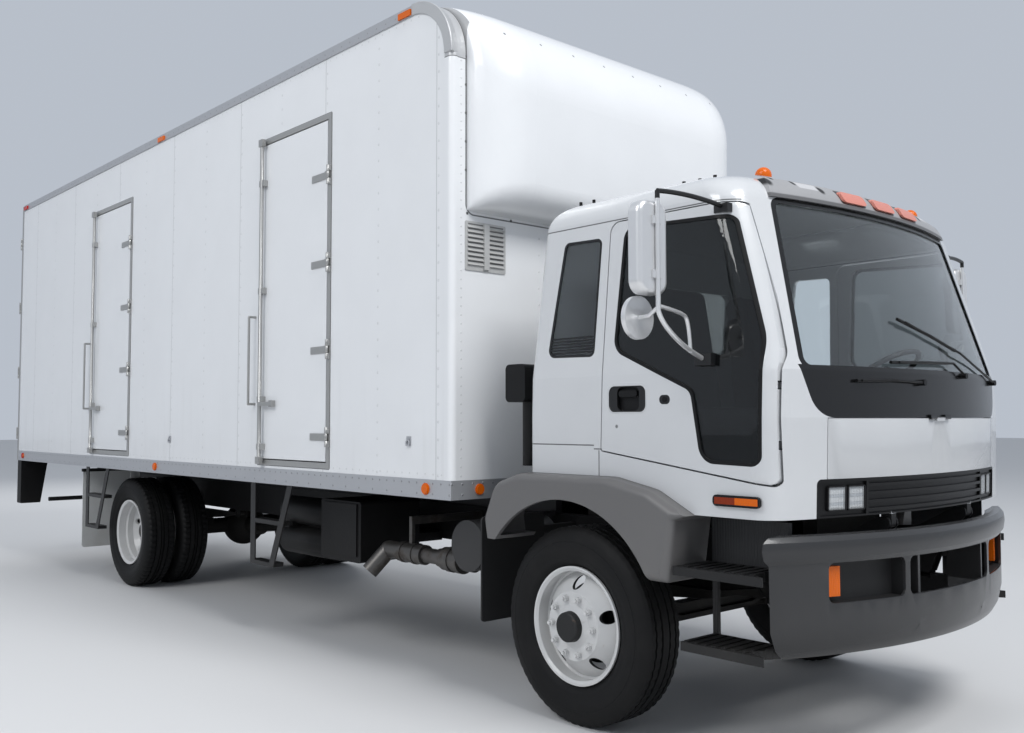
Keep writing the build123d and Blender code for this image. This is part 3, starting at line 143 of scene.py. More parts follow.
DOOR_TINT = (0.15, 0.165, 0.165)
DUST = (0.26, 0.235, 0.20)
# The dark that shade() mixes in: dirt on screws and rivets, painted shade in seams, gaps and
# recesses
DIRT_AND_SHADE = (0.05, 0.05, 0.05)


# Shader building blocks

class Shader:
    """One material's node tree, with short calls for the nodes used here."""

    def __init__(self, name):
        self.material = bpy.data.materials.new(name)
        self.material.use_nodes = True
        self.tree = self.material.node_tree
        self.bsdf = self.tree.nodes["Principled BSDF"]
        self.coords = None
        self.parts = None

    def make(self, kind, **values):
        made = self.tree.nodes.new(kind)
        for key, value in values.items():
            setattr(made, key, value)
        return made

    def feed(self, socket, value):
        """Link a socket to another, or give it a constant."""
        if isinstance(value, bpy.types.NodeSocket):
            self.tree.links.new(value, socket)
        elif isinstance(value, tuple) and len(value) == 3 and socket.type == "RGBA":
            socket.default_value = (*value, 1)
        else:
            socket.default_value = value

    def set(self, **values):
        for key, value in values.items():
            self.feed(self.bsdf.inputs[key.replace("_", " ")], value)
        return self

    def position(self):
        """Object coordinates: for a CAD node these are row-frame metres at rest."""
        if self.coords is None:
            self.coords = self.make("ShaderNodeTexCoord").outputs["Object"]
        return self.coords

    def axis(self, letter):
        if self.parts is None:
            split = self.make("ShaderNodeSeparateXYZ")
            self.feed(split.inputs[0], self.position())
            self.parts = split.outputs
        return self.parts["XYZ".index(letter)]

    def across(self):
        """Distance from the truck's middle plane."""
        return self.math("ABSOLUTE", self.axis("Y"))

    def offset(self, letter, at):
        return self.minus(self.axis(letter), at)

    def math(self, operation, *values):
        made = self.make("ShaderNodeMath", operation=operation)
        for socket, value in zip(made.inputs, values):
            self.feed(socket, value)
        return made.outputs[0]

    def add(self, *values):
        total = values[0]
        for more in values[1:]:
            total = self.math("ADD", total, more)
        return total

    def minus(self, a, b):
        return self.math("SUBTRACT", a, b)

    def times(self, *values):
        total = values[0]
        for more in values[1:]:
            total = self.math("MULTIPLY", total, more)
        return total

    def larger(self, a, b):
        return self.math("MAXIMUM", a, b)

    def reach(self, u, v):
        """Distance from u = v = 0."""
        return self.math("SQRT", self.add(self.times(u, u), self.times(v, v)))

    def step(self, value, low, high):
        """0 at low and 1 at high, smooth between; low may be the larger."""
        made = self.make("ShaderNodeMapRange", interpolation_type="SMOOTHSTEP")
        self.feed(made.inputs["Value"], value)
        made.inputs["From Min"].default_value = low
        made.inputs["From Max"].default_value = high
        return made.outputs[0]

    def above(self, value, edge, soft=0.001):
        return self.step(value, edge - soft, edge + soft)

    def below(self, value, edge, soft=0.001):
        return self.step(value, edge + soft, edge - soft)

    def between(self, letter, low, high, soft=0.001):
        value = self.axis(letter)
        return self.times(self.above(value, low, soft), self.below(value, high, soft))

    def cell(self, value, pitch, start=0.0):
        """Signed distance from the nearest of a row of places, pitch apart."""
        shifted = self.minus(value, start - pitch / 2)
        share = self.math("FRACT", self.math("DIVIDE", shifted, pitch))
        return self.times(self.minus(share, 0.5), pitch)

    def dot(self, u, v, r):
        """1 inside a small disc round u = v = 0."""
        return self.step(self.reach(u, v), r, r * 0.45)

    def plate(self, u, v, half_u, half_v, r):
        """Distance outside a rounded rectangle about u = v = 0; below zero inside it."""
        du, dv = (self.larger(self.minus(self.math("ABSOLUTE", w), half - r), 0.0)
                  for w, half in ((u, half_u), (v, half_v)))
        return self.minus(self.reach(du, dv), r)

    def line(self, distance, half):
        """1 on an outline, half its width to each side."""
        return self.below(self.math("ABSOLUTE", distance), half)

    def noise(self, scale, detail=4.0, stretch=None):
        made = self.make("ShaderNodeTexNoise")
        made.inputs["Scale"].default_value = scale
        made.inputs["Detail"].default_value = detail
        made.inputs["Roughness"].default_value = 0.55
        source = self.position()
        if stretch:
            mapping = self.make("ShaderNodeMapping")
            mapping.inputs["Scale"].default_value = stretch
            self.feed(mapping.inputs[0], source)
            source = mapping.outputs[0]
        self.feed(made.inputs["Vector"], source)
        return made.outputs[0]

    def mix(self, factor, a, b):
        """A colour between a and b."""
        made = self.make("ShaderNodeMix", data_type="RGBA")
        for at, value in ((0, factor), (6, a), (7, b)):
            self.feed(made.inputs[at], value)
        return made.outputs[2]

    def blend(self, factor, a, b):
        """A plain number between a and b."""
        made = self.make("ShaderNodeMix", data_type="FLOAT")
        for at, value in ((0, factor), (2, a), (3, b)):
            self.feed(made.inputs[at], value)
        return made.outputs[0]

    def bump(self, height):
        made = self.make("ShaderNodeBump")
        made.inputs["Strength"].default_value = 1.0
        made.inputs["Distance"].default_value = 1.0
        self.feed(made.inputs["Height"], height)
        self.feed(self.bsdf.inputs["Normal"], made.outputs[0])


class Finish:
    """What one material adds up: colour, roughness, metal share and surface height."""

    def __init__(self, name, colour, roughness, metallic=0.0, coat=0.0, specular=0.5):
        s = self.s = Shader(name)
        s.set(Specular_IOR_Level=specular)
        mottle = s.noise(2.5, 5.0)
        self.colour = s.mix(mottle, tuple(c * 0.93 for c in colour), colour)
        self.roughness = s.blend(mottle, roughness * 0.85, min(roughness * 1.15, 1.0))
        self.metallic = metallic
        self.coat = coat
        self.height = None

    def dust(self, amount, top=1.1):
        """Road dust that gathers low down and in cloudy patches."""
        s = self.s
        low = s.step(s.axis("Z"), top, 0.15)
        cloud = s.step(s.noise(3.2, 6.0), 0.30, 0.75)
        share = s.times(low, cloud, amount)
        self.colour = s.mix(share, self.colour, DUST)
        self.roughness = s.blend(share, self.roughness, 0.9)
        return self

    def where(self, mask, colour, roughness, metallic=0.0):
        """A different finish inside a mask."""
        s = self.s
        self.colour = s.mix(mask, self.colour, colour)
        self.roughness = s.blend(mask, self.roughness, roughness)
        self.metallic = s.blend(mask, self.metallic, metallic)
        if isinstance(self.coat, bpy.types.NodeSocket) or self.coat:
            self.coat = s.blend(mask, self.coat, 0.0)
        return self

    def shade(self, mask, amount):
        """Darken inside a mask: dirt on some details, painted shade in seams, gaps and recesses on
        others.
        """
        self.colour = self.s.mix(self.s.times(mask, amount), self.colour, DIRT_AND_SHADE)
        return self

    def raise_by(self, height):
        self.height = height if self.height is None else self.s.add(self.height, height)
        return self

    def relief(self, mask, dirt_and_shade, rise=RIVET_RISE):
        """A raised or sunk detail, darkened: dirt on some, painted shade on others."""
        return self.shade(mask, dirt_and_shade).raise_by(self.s.times(mask, rise))

    def grain(self, scale, depth):
        return self.raise_by(self.s.times(self.s.noise(scale, 6.0), depth))

    def done(self):
        self.s.set(Base_Color=self.colour, Roughness=self.roughness, Metallic=self.metallic,
                   Coat_Weight=self.coat, Coat_Roughness=0.06)
        if self.height is not None:
            self.s.bump(self.height)
        return self.s.material


# Body panels

def post_rivets(f):
    """Vertical rows of dome rivets at each post, with a faint darker ring round each."""
    s = f.s
    u = s.cell(s.axis("X"), POST_PITCH, BODY_FRONT - 0.12)
    v = s.cell(s.axis("Z"), RIVET_PITCH)
    wall = s.between("Z", SILL_TOP, 3.98, 0.002)
    head, ring = (s.times(s.dot(u, v, r), wall) for r in (RIVET_R, RIVET_R * 1.7))
    f.shade(ring, 0.10).raise_by(s.times(head, RIVET_RISE))


def side_door_gaps(f):
    """Painted shade in the gaps round the side doors, on the right."""
    s = f.s
    for front in SIDE_DOOR_FRONTS:
        leaf_edge = s.plate(s.offset("X", front - SIDE_DOOR_W / 2), s.offset("Z", SIDE_DOOR_MIDDLE),
                            SIDE_DOOR_W / 2, SIDE_DOOR_H / 2, 0.01)
        # Painted shade along the gap round each door leaf
        f.shade(s.times(s.line(leaf_edge, 0.006), s.below(s.axis("Y"), 0.0)), 0.8)


def box_side():
    """Side wall sheet: rivets at each post and along both edges, painted shade in the door gaps,
    and dust streaks.
    """
    f = Finish("box_white", WHITE, 0.20, coat=0.5)
    s = f.s
    post_rivets(f)
    sheet_seam = s.cell(s.axis("X"), 2 * POST_PITCH, BODY_FRONT - 0.14)
    f.relief(s.dot(sheet_seam, 0.0, 0.004), 0.35, -0.001)
    for z in (SILL_TOP + 0.03, 3.955):
        f.relief(s.dot(s.cell(s.axis("X"), EDGE_PITCH), s.offset("Z", z), 0.0065), 0.12)
    f.raise_by(s.times(s.noise(1.1, 2.0, stretch=(1, 1, 0.5)), 0.004))
    side_door_gaps(f)
    streak = s.step(s.noise(2.0, 5.0, stretch=(6, 1, 0.5)), 0.50, 0.85)
    low = s.step(s.axis("Z"), 2.2, SILL_TOP)
    f.colour = s.mix(s.times(streak, low, 0.12), f.colour, DUST)
    return f.done()


def vent_plate(f):
    """Bare metal vent plate, with a painted shadow under each louvre."""
    s = f.s
    plate = s.times(s.above(s.axis("X"), BODY_FRONT + 0.0005, 0.0003), s.between("Z", *VENT_Z),
                    s.between("Y", *VENT_Y))
    f.where(plate, VENT_METAL, 0.42, 0.35)
    # A painted shadow under each louvre
    under = s.below(s.math("ABSOLUTE", s.cell(s.axis("Z"), LOUVRE_PITCH, LOUVRE_EDGE)), 0.0045)
    out = s.math("ABSOLUTE", s.offset("Y", VENT_MIDDLE))
    f.shade(s.times(plate, under, s.above(out, LOUVRES_FROM), s.below(out, LOUVRES_TO),
                    s.above(s.axis("Z"), VENT_Z[0] + 0.04)), 0.75)


def nose_flange(f, front):
    """Painted shade along the outline of the nose's flange, with screws down its sides and along
    its foot.
    """
    s = f.s
    outline = s.plate(s.axis("Y"), s.offset("Z", FLANGE_MIDDLE), NOSE_SIDE + 0.005, FLANGE_HALF,
                      FLANGE_R)
    at_side = s.dot(s.minus(s.across(), NOSE_SIDE + 0.004), s.cell(s.axis("Z"), 0.167, 2.984),
                    0.012)
    at_foot = s.dot(s.cell(s.axis("Y"), 0.34, -0.84), s.offset("Z", 2.733), 0.012)
    screws = s.larger(s.times(at_side, s.above(s.axis("Z"), 2.90)), at_foot)
    # Painted shade on the flange's outline, then the dark screws
    f.shade(s.times(s.line(outline, 0.0045), front), 0.85).shade(s.times(screws, front), 0.95)


def cap_feet(f):
    """Cast grey feet of the corner caps beside the nose, with painted shade in the seam under them.
    """
    s = f.s
    y = s.across()
    foot = s.times(s.between("Z", CAP_LOW - 0.022, CAP_LOW + 0.1), s.above(y, NOSE_SIDE + 0.008))
    f.where(foot, CAST, 0.4, 0.4)
    # Painted shade in the seam under the caps' feet
    f.shade(s.times(s.between("Z", CAP_LOW - 0.026, CAP_LOW - 0.020), s.above(y, NOSE_SIDE)), 0.8)


def box_front():
    """Front wall: white sheet with riveted posts, a vent, the nose's flange and the caps' feet."""
    f = Finish("box_front_white", WHITE, 0.25, coat=0.4)
    s = f.s
    front = s.above(s.axis("X"), BODY_FRONT - 0.01)
    corner_row = s.dot(s.minus(s.across(), 1.225), s.cell(s.axis("Z"), RIVET_PITCH / 2), 0.007)
    f.relief(s.times(corner_row, front), 0.14)
    for y in (0.0, POST_PITCH):
        f.relief(s.dot(s.minus(s.across(), y), s.cell(s.axis("Z"), RIVET_PITCH), 0.007), 0.10)
    vent_plate(f)
    nose_flange(f, front)
    cap_feet(f)
    return f.done()


def roof_skin():
    """White roof; the cast corner caps reach in over its front bend, up to the nose, with painted
    shade along their edge.
    """
    f = Finish("roof_white", WHITE, 0.25, coat=0.4)
    s = f.s
    bend = s.above(s.axis("X"), BODY_FRONT - ROOF_BEND)
    edge = s.minus(s.across(), NOSE_SIDE)
    f.where(s.times(bend, s.above(edge, 0.008)), CAST, 0.4, 0.4)
    # Painted shade along the caps' edge beside the nose
    f.shade(s.times(bend, s.line(s.minus(edge, 0.004), 0.004)), 0.85)
    return f.grain(70, 0.0004).done()


def fibreglass():
    """Moulded nose: screws along its foot and across its front, and painted shade along its edge at
    the wall.
    """
    f = Finish("nose_white", WHITE, 0.24, coat=0.5)
    s = f.s
    foot = s.dot(s.offset("Z", 2.775), s.cell(s.axis("Y"), 0.10), 0.007)
    near = s.below(s.axis("X"), BODY_FRONT + 0.06)
    f.shade(s.times(foot, near), 0.3).raise_by(s.times(s.noise(0.9, 2.0), 0.006))
    screws = s.dot(s.cell(s.axis("Y"), 0.28, -1.0), s.offset("Z", 3.80), 0.011)
    f.shade(s.times(screws, s.above(s.axis("X"), BODY_FRONT)), 0.8)
    # Painted shade where the nose meets the wall
    edge = s.times(s.above(s.across(), NOSE_SIDE - 0.02), s.below(s.axis("X"), BODY_FRONT + 0.002),
                   s.above(s.axis("Z"), 2.76))
    f.shade(edge, 0.6)
    return f.done()


def leaf(name, letter, face):
    """A white door leaf; the hardware that stands out past its face is bare metal."""
    f = Finish(name, WHITE, 0.22, coat=0.5)
    f.where(f.s.below(f.s.axis(letter), face, 0.0004), BARE_METAL, 0.38, 0.7)
    f.grain(40, 0.0002)
    return f.done()


def side_leaf():
    return leaf("side_leaf", "Y", -BODY_SIDE - 0.0036)


def rear_leaf():
    return leaf("rear_leaf", "X", BODY_REAR - 0.0056)


# Cab

def cab_inside(s, depth=0.030):
    """1 on the cab's inner faces: more than a depth in from its outer form."""
    x, y, z = s.axis("X"), s.across(), s.axis("Z")
    leaning = s.larger(s.math("DIVIDE", s.minus(z, CAB_BELT), CAB_RISE), 0.0)
    front = s.minus(s.minus(CAB_FRONT - depth, s.times(leaning, FRONT_LEAN)),
                    s.times(y, y, 1 / CAB_CURVE))
    side = s.minus(CAB_SIDE - depth, s.times(leaning, SIDE_LEAN))
    rear = s.add(CAB_REAR + depth, s.times(leaning, REAR_LEAN))
    roof = s.minus(CAB_TOP, s.times(s.larger(s.minus(y, CROWN_HALF), 0.0), CROWN_FALL))
    corner = s.add(s.minus(x, s.minus(front, 0.11)), s.minus(y, s.minus(side, 0.11)))
    inside = (s.above(s.minus(far, near), 0.0)
              for far, near in ((front, x), (side, y), (x, rear), (roof, z)))
    return s.times(*inside, s.step(corner, 0.16, 0.14), s.above(z, CAB_FLOOR))


def cab_paint():
    """White shell, pale inside, black below its foot, painted shade in grooves round the rear
    quarter.
    """
    f = Finish("cab_white", CAB_WHITE, 0.22, coat=0.9).dust(0.25, 1.35)
    s = f.s
    f.where(cab_inside(s), LINING, 0.8)
    f.where(s.below(s.axis("Z"), CAB_FOOT), BLACK, 0.6)

    def groove(letter, at):
        return s.between(letter, at - 0.003, at + 0.003)

    outside = s.above(s.across(), 1.03)
    # Painted shade in grooves under the roof's edge, along the quarter's sill, its step at the
    # door, and down from there
    grooves = (s.times(groove("Z", 2.541), s.below(s.axis("X"), FRONT_AXLE + 0.98)),
               s.times(groove("Z", 1.414), s.below(s.axis("X"), DOOR_REAR)),
               s.times(groove("Z", 1.396), s.between("X", DOOR_REAR, DOOR_REAR + 0.08)),
               s.times(groove("X", DOOR_REAR + 0.034), s.below(s.axis("Z"), 1.39)))
    for mask in grooves:
        f.relief(s.times(mask, outside), 0.85, -0.002)
    return f.done()


def door_paint():
    """White door with a wide black handle cup, a black lock and a small screw under them."""
    f = Finish("door_white", CAB_WHITE, 0.22, coat=0.9).dust(0.2, 1.4)
    s = f.s
    f.where(cab_inside(s, 0.036), LINING, 0.8)
    outside = s.above(s.across(), 1.12)
    cup, lock = (s.plate(s.offset("X", FRONT_AXLE + x), s.offset("Z", z), *form)
                 for x, z, *form in (HANDLE_CUP, DOOR_LOCK))
    for outline in (cup, lock):
        f.where(s.times(outside, s.below(outline, 0.0)), BLACK, 0.30)
    f.raise_by(s.times(outside, s.line(cup, 0.005), 0.003))
    screw = s.dot(s.offset("X", FRONT_AXLE + 0.295), s.offset("Z", 1.509), 0.012)
    f.shade(s.times(outside, screw), 0.8)
    return f.done()


def lid_paint():
    """White lid in a shaded copy of the cab's white; its hinge knuckle under the cowl is black."""
    f = Finish("shaded_lid_white", SHADED_LID_WHITE, 0.22, coat=0.9).dust(0.15, 1.4)
    knuckle = f.s.times(f.s.above(f.s.axis("Z"), 1.549), f.s.below(f.s.across(), 0.11))
    return f.where(knuckle, BLACK, 0.5).done()


def trim_black(name="black_trim", roughness=0.38, specular=0.22):
    return Finish(name, BLACK, roughness, specular=specular).grain(500, 0.0002).done()


def garnish_grey():
    """Silver grey band: a darker lip, lamp wells in painted shade, and a pale plate and pockets
    painted black as shade each side.
    """
    f = Finish("garnish_grey", SILVER_GREY, 0.38, 0.2)
    s = f.s
    y = s.across()
    f.where(s.below(s.axis("Z"), 2.592, 0.004), (0.10, 0.10, 0.103), 0.42)
    # Painted shade in the lamp wells round the roof lenses
    well = s.plate(s.cell(s.axis("Y"), LENS_PITCH), s.offset("Z", LENS_Z), LENS_HALF + 0.010, 0.038,
                   0.016)
    f.where(s.times(s.below(well, 0.0), s.below(y, 1.5 * LENS_PITCH)), (0.035, 0.03, 0.03), 0.4)
    plate = s.plate(s.minus(y, 0.575), s.offset("Z", 2.660), 0.075, 0.017, 0.008)
    f.where(s.below(plate, 0.0), (0.46, 0.46, 0.47), 0.5)
    # Pockets painted black as shade
    for at_y, at_z, r in BAND_POCKETS:
        f.where(s.dot(s.minus(y, at_y), s.offset("Z", at_z), r), BLACK, 0.5)
    return f.done()


def bumper_grey():
    """Moulded grey, darkened underneath by painted shade, with black recesses behind its curved
    face.
    """
    f = Finish("bumper_grey", DARK_GREY, 0.24, specular=0.42).dust(0.05, 1.0).grain(420, 0.00015)
    s = f.s
    # Painted shade: darker towards the bottom
    f.colour = s.mix(s.step(s.axis("Z"), 0.70, 0.45), f.colour, (0.014, 0.014, 0.015))
    from_centre = s.reach(s.offset("X", BUMPER_CENTRE_X), s.axis("Y"))
    deep = s.times(s.below(from_centre, RECESS_R, 0.003), s.between("Z", *RECESS_Z),
                   s.above(s.axis("X"), FRONT_AXLE + 0.78))
    f.where(deep, BLACK, 0.6)
    return f.done()


def moulded_grey():
    return Finish("grey_trim", GREY, 0.42).dust(0.25, 1.25).grain(420, 0.00035).done()


def glass(name, tint):
    s = Shader(name)
    s.set(Base_Color=tint, Roughness=0.02, Transmission_Weight=1.0, IOR=1.5, Alpha=1.0)
    return s.material


def lamp(name):
    """A ribbed amber lens."""
    f = Finish(name, AMBER, 0.20, coat=0.15, specular=0.2)
    s = f.s
    ribs = (s.math("SINE", s.times(s.axis(letter), 520.0)) for letter in "XY")
    return f.raise_by(s.times(s.add(*ribs), 0.0003))


def marker_lens():
    """The body's lamps: red at the rear."""
    f = lamp("lamp_amber")
    f.where(f.s.below(f.s.axis("X"), BODY_REAR + 0.26), RED, 0.12)
    f.s.set(Emission_Color=f.colour, Emission_Strength=0.05)
    return f.done()


def cab_lens():
    """Domes and roof lenses, and the side markers with a red end and a black rim."""
    f = lamp("cab_lamp_amber")
    s = f.s
    low = s.below(s.axis("Z"), 1.4)
    f.where(s.times(low, s.below(s.axis("X"), SIDE_MARKER_X - 0.005)), DARK_RED, 0.12)
    roof = s.times(s.between("Z", 2.585, 2.675), s.above(s.axis("X"), FRONT_AXLE + 1.0))
    f.where(roof, PALE_AMBER, 0.25)
    u, v = (s.minus(s.math("ABSOLUTE", s.offset(letter, at)), half) for letter, at, half in
            (("X", SIDE_MARKER_X, 0.1125), ("Z", SIDE_MARKER_Z, 0.015)))
    f.where(s.times(low, s.above(s.larger(u, v), 0.0)), BLACK, 0.4)
    s.set(Emission_Color=f.colour, Emission_Strength=0.04)
    return f.done()


def head_lens():
    """Clear square lamps: a bright reflector behind fine vertical flutes."""
    f = Finish("lamp_clear", (0.55, 0.57, 0.58), 0.07, 0.65, coat=1.0)
    s = f.s
    flutes = s.math("SINE", s.times(s.axis("Y"), 620.0))
    bands = s.math("SINE", s.times(s.axis("Z"), 180.0))
    f.raise_by(s.times(s.add(flutes, bands), 0.0006))
    u = s.cell(s.minus(s.across(), HEADLAMP_Y), HEADLAMP_PITCH, HEADLAMP_PITCH / 2)
    v = s.offset("Z", HEADLAMP_Z)
    rim = s.larger(s.math("ABSOLUTE", u), s.math("ABSOLUTE", v))
    f.shade(s.step(rim, 0.034, 0.050), 0.75)
    return f.done()


def mirror_metal():
    """Polished housing and arms, black at the upper arm and brackets."""
    f = Finish("stainless", (0.80, 0.80, 0.80), 0.30, 0.75)
    s = f.s
    upper = s.above(s.axis("Z"), 2.496, 0.002)
    bracket = s.below(s.across(), 1.175, 0.002)
    f.where(s.larger(upper, bracket), BLACK, 0.35)
    return f.done()


# Chassis

def frame_black():
    f = Finish("black_frame", BLACK, 0.5, specular=0.18)
    return f.dust(0.05, 1.1).grain(60, 0.0008).done()


def step_black():
    """Black steps with chequered treads; the panel behind the cab steps is moulded grey."""
    f = Finish("black_steps", SOFT_BLACK, 0.42, specular=0.3).dust(0.06, 1.1)
    s = f.s
    x, y = s.axis("X"), s.axis("Y")
    chequer = (s.math("SINE", s.times(way, 210.0)) for way in (s.add(x, y), s.minus(x, y)))
    f.raise_by(s.times(s.step(s.times(*chequer), 0.55, 0.85), 0.0015))
    panel = s.times(s.between("Z", 0.886, 1.10), s.above(x, FRONT_AXLE + 0.28),
                    s.below(s.across(), 0.99))
    f.where(panel, DARK_GREY, 0.45)
    return f.done()


def cast_iron():
    f = Finish("iron", (0.012, 0.0115, 0.011), 0.65, specular=0.2)
    return f.dust(0.08, 1.1).grain(90, 0.0012).done()


def exhaust_steel():
    """Rusty pipes and a dark can."""
    f = Finish("exhaust_steel", (0.11, 0.105, 0.10), 0.40, 0.8).grain(60, 0.0006)
    s = f.s
    rust = s.step(s.noise(9.0, 6.0), 0.50, 0.72)
    f.colour = s.mix(s.times(rust, 0.5), f.colour, (0.060, 0.038, 0.026))
    f.roughness = s.blend(rust, f.roughness, 0.85)
    can = s.times(s.above(s.axis("X"), FRONT_AXLE - 1.055), s.above(s.axis("Z"), 0.66))
    f.where(can, (0.022, 0.022, 0.023), 0.55)
    return f.dust(0.08).done()


def tank_metal():
    return Finish("tank_aluminium", ALUMINIUM, 0.28, 1.0).dust(0.3).grain(30, 0.0004).done()


def rail_metal():
    """Extruded rails: two rows of rivets along the bottom ones, one along the top, and scuffs."""
    f = Finish("aluminium", RAIL_METAL, 0.34, 0.5)
    s = f.s
    scuff = s.noise(5.0, 6.0, stretch=(0.4, 1, 6))
    f.roughness = s.blend(scuff, 0.22, 0.50)
    low = s.below(s.axis("Z"), SILL_TOP)
    front = s.above(s.axis("X"), BODY_FRONT - 0.002)
    for z, pitch in ((1.178, EDGE_PITCH), (1.118, 2 * EDGE_PITCH)):
        on_side, on_front = (s.dot(s.cell(s.axis(letter), pitch), s.offset("Z", z), 0.008)
                             for letter in "XY")
        f.relief(s.times(low, s.blend(front, on_side, on_front)), 0.45, 0.003)
    top_row = s.dot(s.cell(s.axis("X"), RIVET_PITCH), s.offset("Z", 4.012), 0.007)
    f.relief(s.times(s.above(s.axis("Z"), 3.95), top_row), 0.4)
    return f.done()


def cast_cap():
    return Finish("cast_grey", CAST, 0.40, 0.4).grain(70, 0.0008).done()


def frame_metal():
    f = Finish("frame_aluminium", BARE_METAL, 0.34, 0.6)
    f.roughness = f.s.blend(f.s.noise(7.0, 6.0, stretch=(4, 1, 0.4)), 0.22, 0.46)
    return f.done()


def flap_rubber():
    """White flaps behind the rear wheels; their hangers and the front boards are black."""
    f = Finish("flap_white", FLAP_WHITE, 0.55).dust(0.35, 1.0)
    s = f.s
    front = s.above(s.axis("X"), 0.0)
    hanger = s.above(s.axis("Z"), 1.018)
    f.where(s.larger(front, hanger), (0.010, 0.010, 0.0105), 0.7)
    return f.done()


def wheel_paint(name, axle_x, cap_y, cap_r, face_y, dish):
    """White disc wheel; its bearing cap is black, and what lies behind the dished disc is painted
    black as shade.
    """
    f = Finish(name, WHEEL_WHITE, 0.35, coat=0.3).dust(0.22, 1.0)
    s = f.s
    r = s.reach(s.offset("X", axle_x), s.offset("Z", HUB_Z))
    cap = s.times(s.below(r, cap_r), s.above(s.across(), cap_y))
    f.where(cap, (0.005, 0.005, 0.0053), 0.6)
    rust = s.times(s.step(s.noise(14.0, 6.0), 0.62, 0.75), s.below(r, 0.20))
    f.colour = s.mix(s.times(rust, 0.35), f.colour, (0.25, 0.16, 0.10))
    # Painted shade: all that lies behind the disc's face, seen through the hand holes, is dark
    past_face = s.minus(s.larger(r, DISC_FACE_R), DISC_FACE_R)
    depth = s.add(s.across(), s.times(past_face, dish))
    behind = s.times(s.below(depth, face_y - 0.0015, 0.0005), s.below(r, DISC_R))
    f.where(behind, (0.012, 0.012, 0.012), 0.7)
    return f.done()


def tyre_rubber():
    f = Finish("tyre", (0.006, 0.006, 0.0063), 0.60, specular=0.2)
    s = f.s
    f.raise_by(s.times(s.noise(120.0, 5.0), 0.0005))
    cloud = s.step(s.noise(4.0, 6.0), 0.45, 0.85)
    f.colour = s.mix(s.times(cloud, 0.06), f.colour, (0.11, 0.10, 0.09))
    return f.done()


def wood_floor():
    """Varnished boards over dark cross sills."""
    f = Finish("floor_wood", (0.26, 0.16, 0.085), 0.42)
    s = f.s
    grain = s.noise(9.0, 8.0, stretch=(0.15, 6, 1))
    f.colour = s.mix(grain, (0.15, 0.085, 0.045), f.colour)
    f.shade(s.dot(s.cell(s.axis("Y"), 0.12), 0.0, 0.004), 0.8)
    f.where(s.below(s.axis("Z"), 1.181), (0.03, 0.03, 0.032), 0.6, 0.3)
    return f.done()


def dash_plastic():
    return Finish("dash_grey", (0.035, 0.036, 0.04), 0.6).grain(300, 0.0004).done()


def cloth():
    return Finish("seat_cloth", (0.045, 0.05, 0.06), 0.9).grain(420, 0.0008).done()


# By the record's material slots, and for the nodes that have a finish of their own
MATERIALS = {
    "cab_white": cab_paint(), "box_white": box_side(), "nose_white": fibreglass(),
    "wheel_white": wheel_paint("wheel_white", *FRONT_WHEEL),
    "aluminium": frame_metal(), "cast_grey": cast_cap(),
    "stainless": mirror_metal(), "black_frame": frame_black(), "black_steps": step_black(),
    "black_trim": trim_black(), "grey_trim": moulded_grey(), "flap_white": flap_rubber(),
    "iron": cast_iron(), "exhaust_steel": exhaust_steel(), "tyre": tyre_rubber(),
    "glass": glass("glass", (0.93, 0.97, 0.97)), "lamp_clear": head_lens(),
    "lamp_amber": marker_lens(), "dash_grey": dash_plastic(), "seat_cloth": cloth(),
    "floor_wood": wood_floor(),
}
OWN = {
    "box_front_wall": box_front(), "side_door_front": side_leaf(), "side_door_rear": side_leaf(),
    "rear_door_left": rear_leaf(), "rear_door_right": rear_leaf(),
    "cab_door_left": door_paint(), "cab_door_right": door_paint(), "front_lid": lid_paint(),
    "front_bumper": bumper_grey(), "fuel_tank": tank_metal(), "body_rails": rail_metal(),
    "box_roof": roof_skin(), "roof_garnish": garnish_grey(),
    "cowl_panel": trim_black("cowl_black", 0.16, 0.5),
    "rear_rims_left": wheel_paint("rear_wheel_white", *REAR_WHEEL),
    "rear_rims_right": wheel_paint("rear_wheel_white", *REAR_WHEEL),
    "door_glass_left": glass("door_glass", DOOR_TINT),
    "door_glass_right": glass("door_glass", DOOR_TINT),
}
slots = {row["node"]: row["material_slot"] for row in frame["record"]["subparts"]}
for name, piece in nodes.items():
    piece.data.materials.clear()
    piece.data.materials.append(OWN.get(name, MATERIALS[slots[name]]))


# Edges

# node: (edge radius in m, segments, least angle in degrees that counts as an edge)
EDGES = {
    "front_bumper": (0.010, 3, 24), "arch_flares": (0.005, 3, 24), "steps": (0.002, 1, 40),
    "rear_bumper": (0.004, 2, 40), "battery_box": (0.004, 2, 40), "mud_flaps": (0.003, 2, 40),
    "corner_caps": (0.003, 2, 30), "body_rails": (0.002, 1, 40), "side_door_frames": (0.002, 1, 40),
    "side_door_front": (0.0015, 1, 40), "side_door_rear": (0.0015, 1, 40),
    "rear_door_left": (0.002, 1, 40), "rear_door_right": (0.002, 1, 40),
    "rear_frame": (0.003, 2, 40), "dashboard": (0.012, 3, 40), "seats": (0.02, 3, 40),
    "frame_rails": (0.002, 1, 50), "air_intake": (0.006, 3, 40), "front_lid": (0.003, 2, 40),
    "cab_door_left": (0.002, 2, 40), "cab_door_right": (0.002, 2, 40),
}


def round_edges(piece, radius, segments, least_deg):
    """Join the piece's faces up and round its edges inside its own surface."""
    weld = piece.modifiers.new("weld", "WELD")
    weld.merge_threshold = 0.00002
    flat = piece.modifiers.new("flat", "DECIMATE")
    flat.decimate_type = "DISSOLVE"
    flat.angle_limit = math.radians(0.3)
    bevel = piece.modifiers.new("edges", "BEVEL")
    bevel.width = radius
    bevel.segments = segments
    bevel.limit_method = "ANGLE"
    bevel.angle_limit = math.radians(least_deg)
    bevel.harden_normals = True


for name, edge in EDGES.items():
    round_edges(nodes[name], *edge)


# Tyres with ribbed or blocked treads

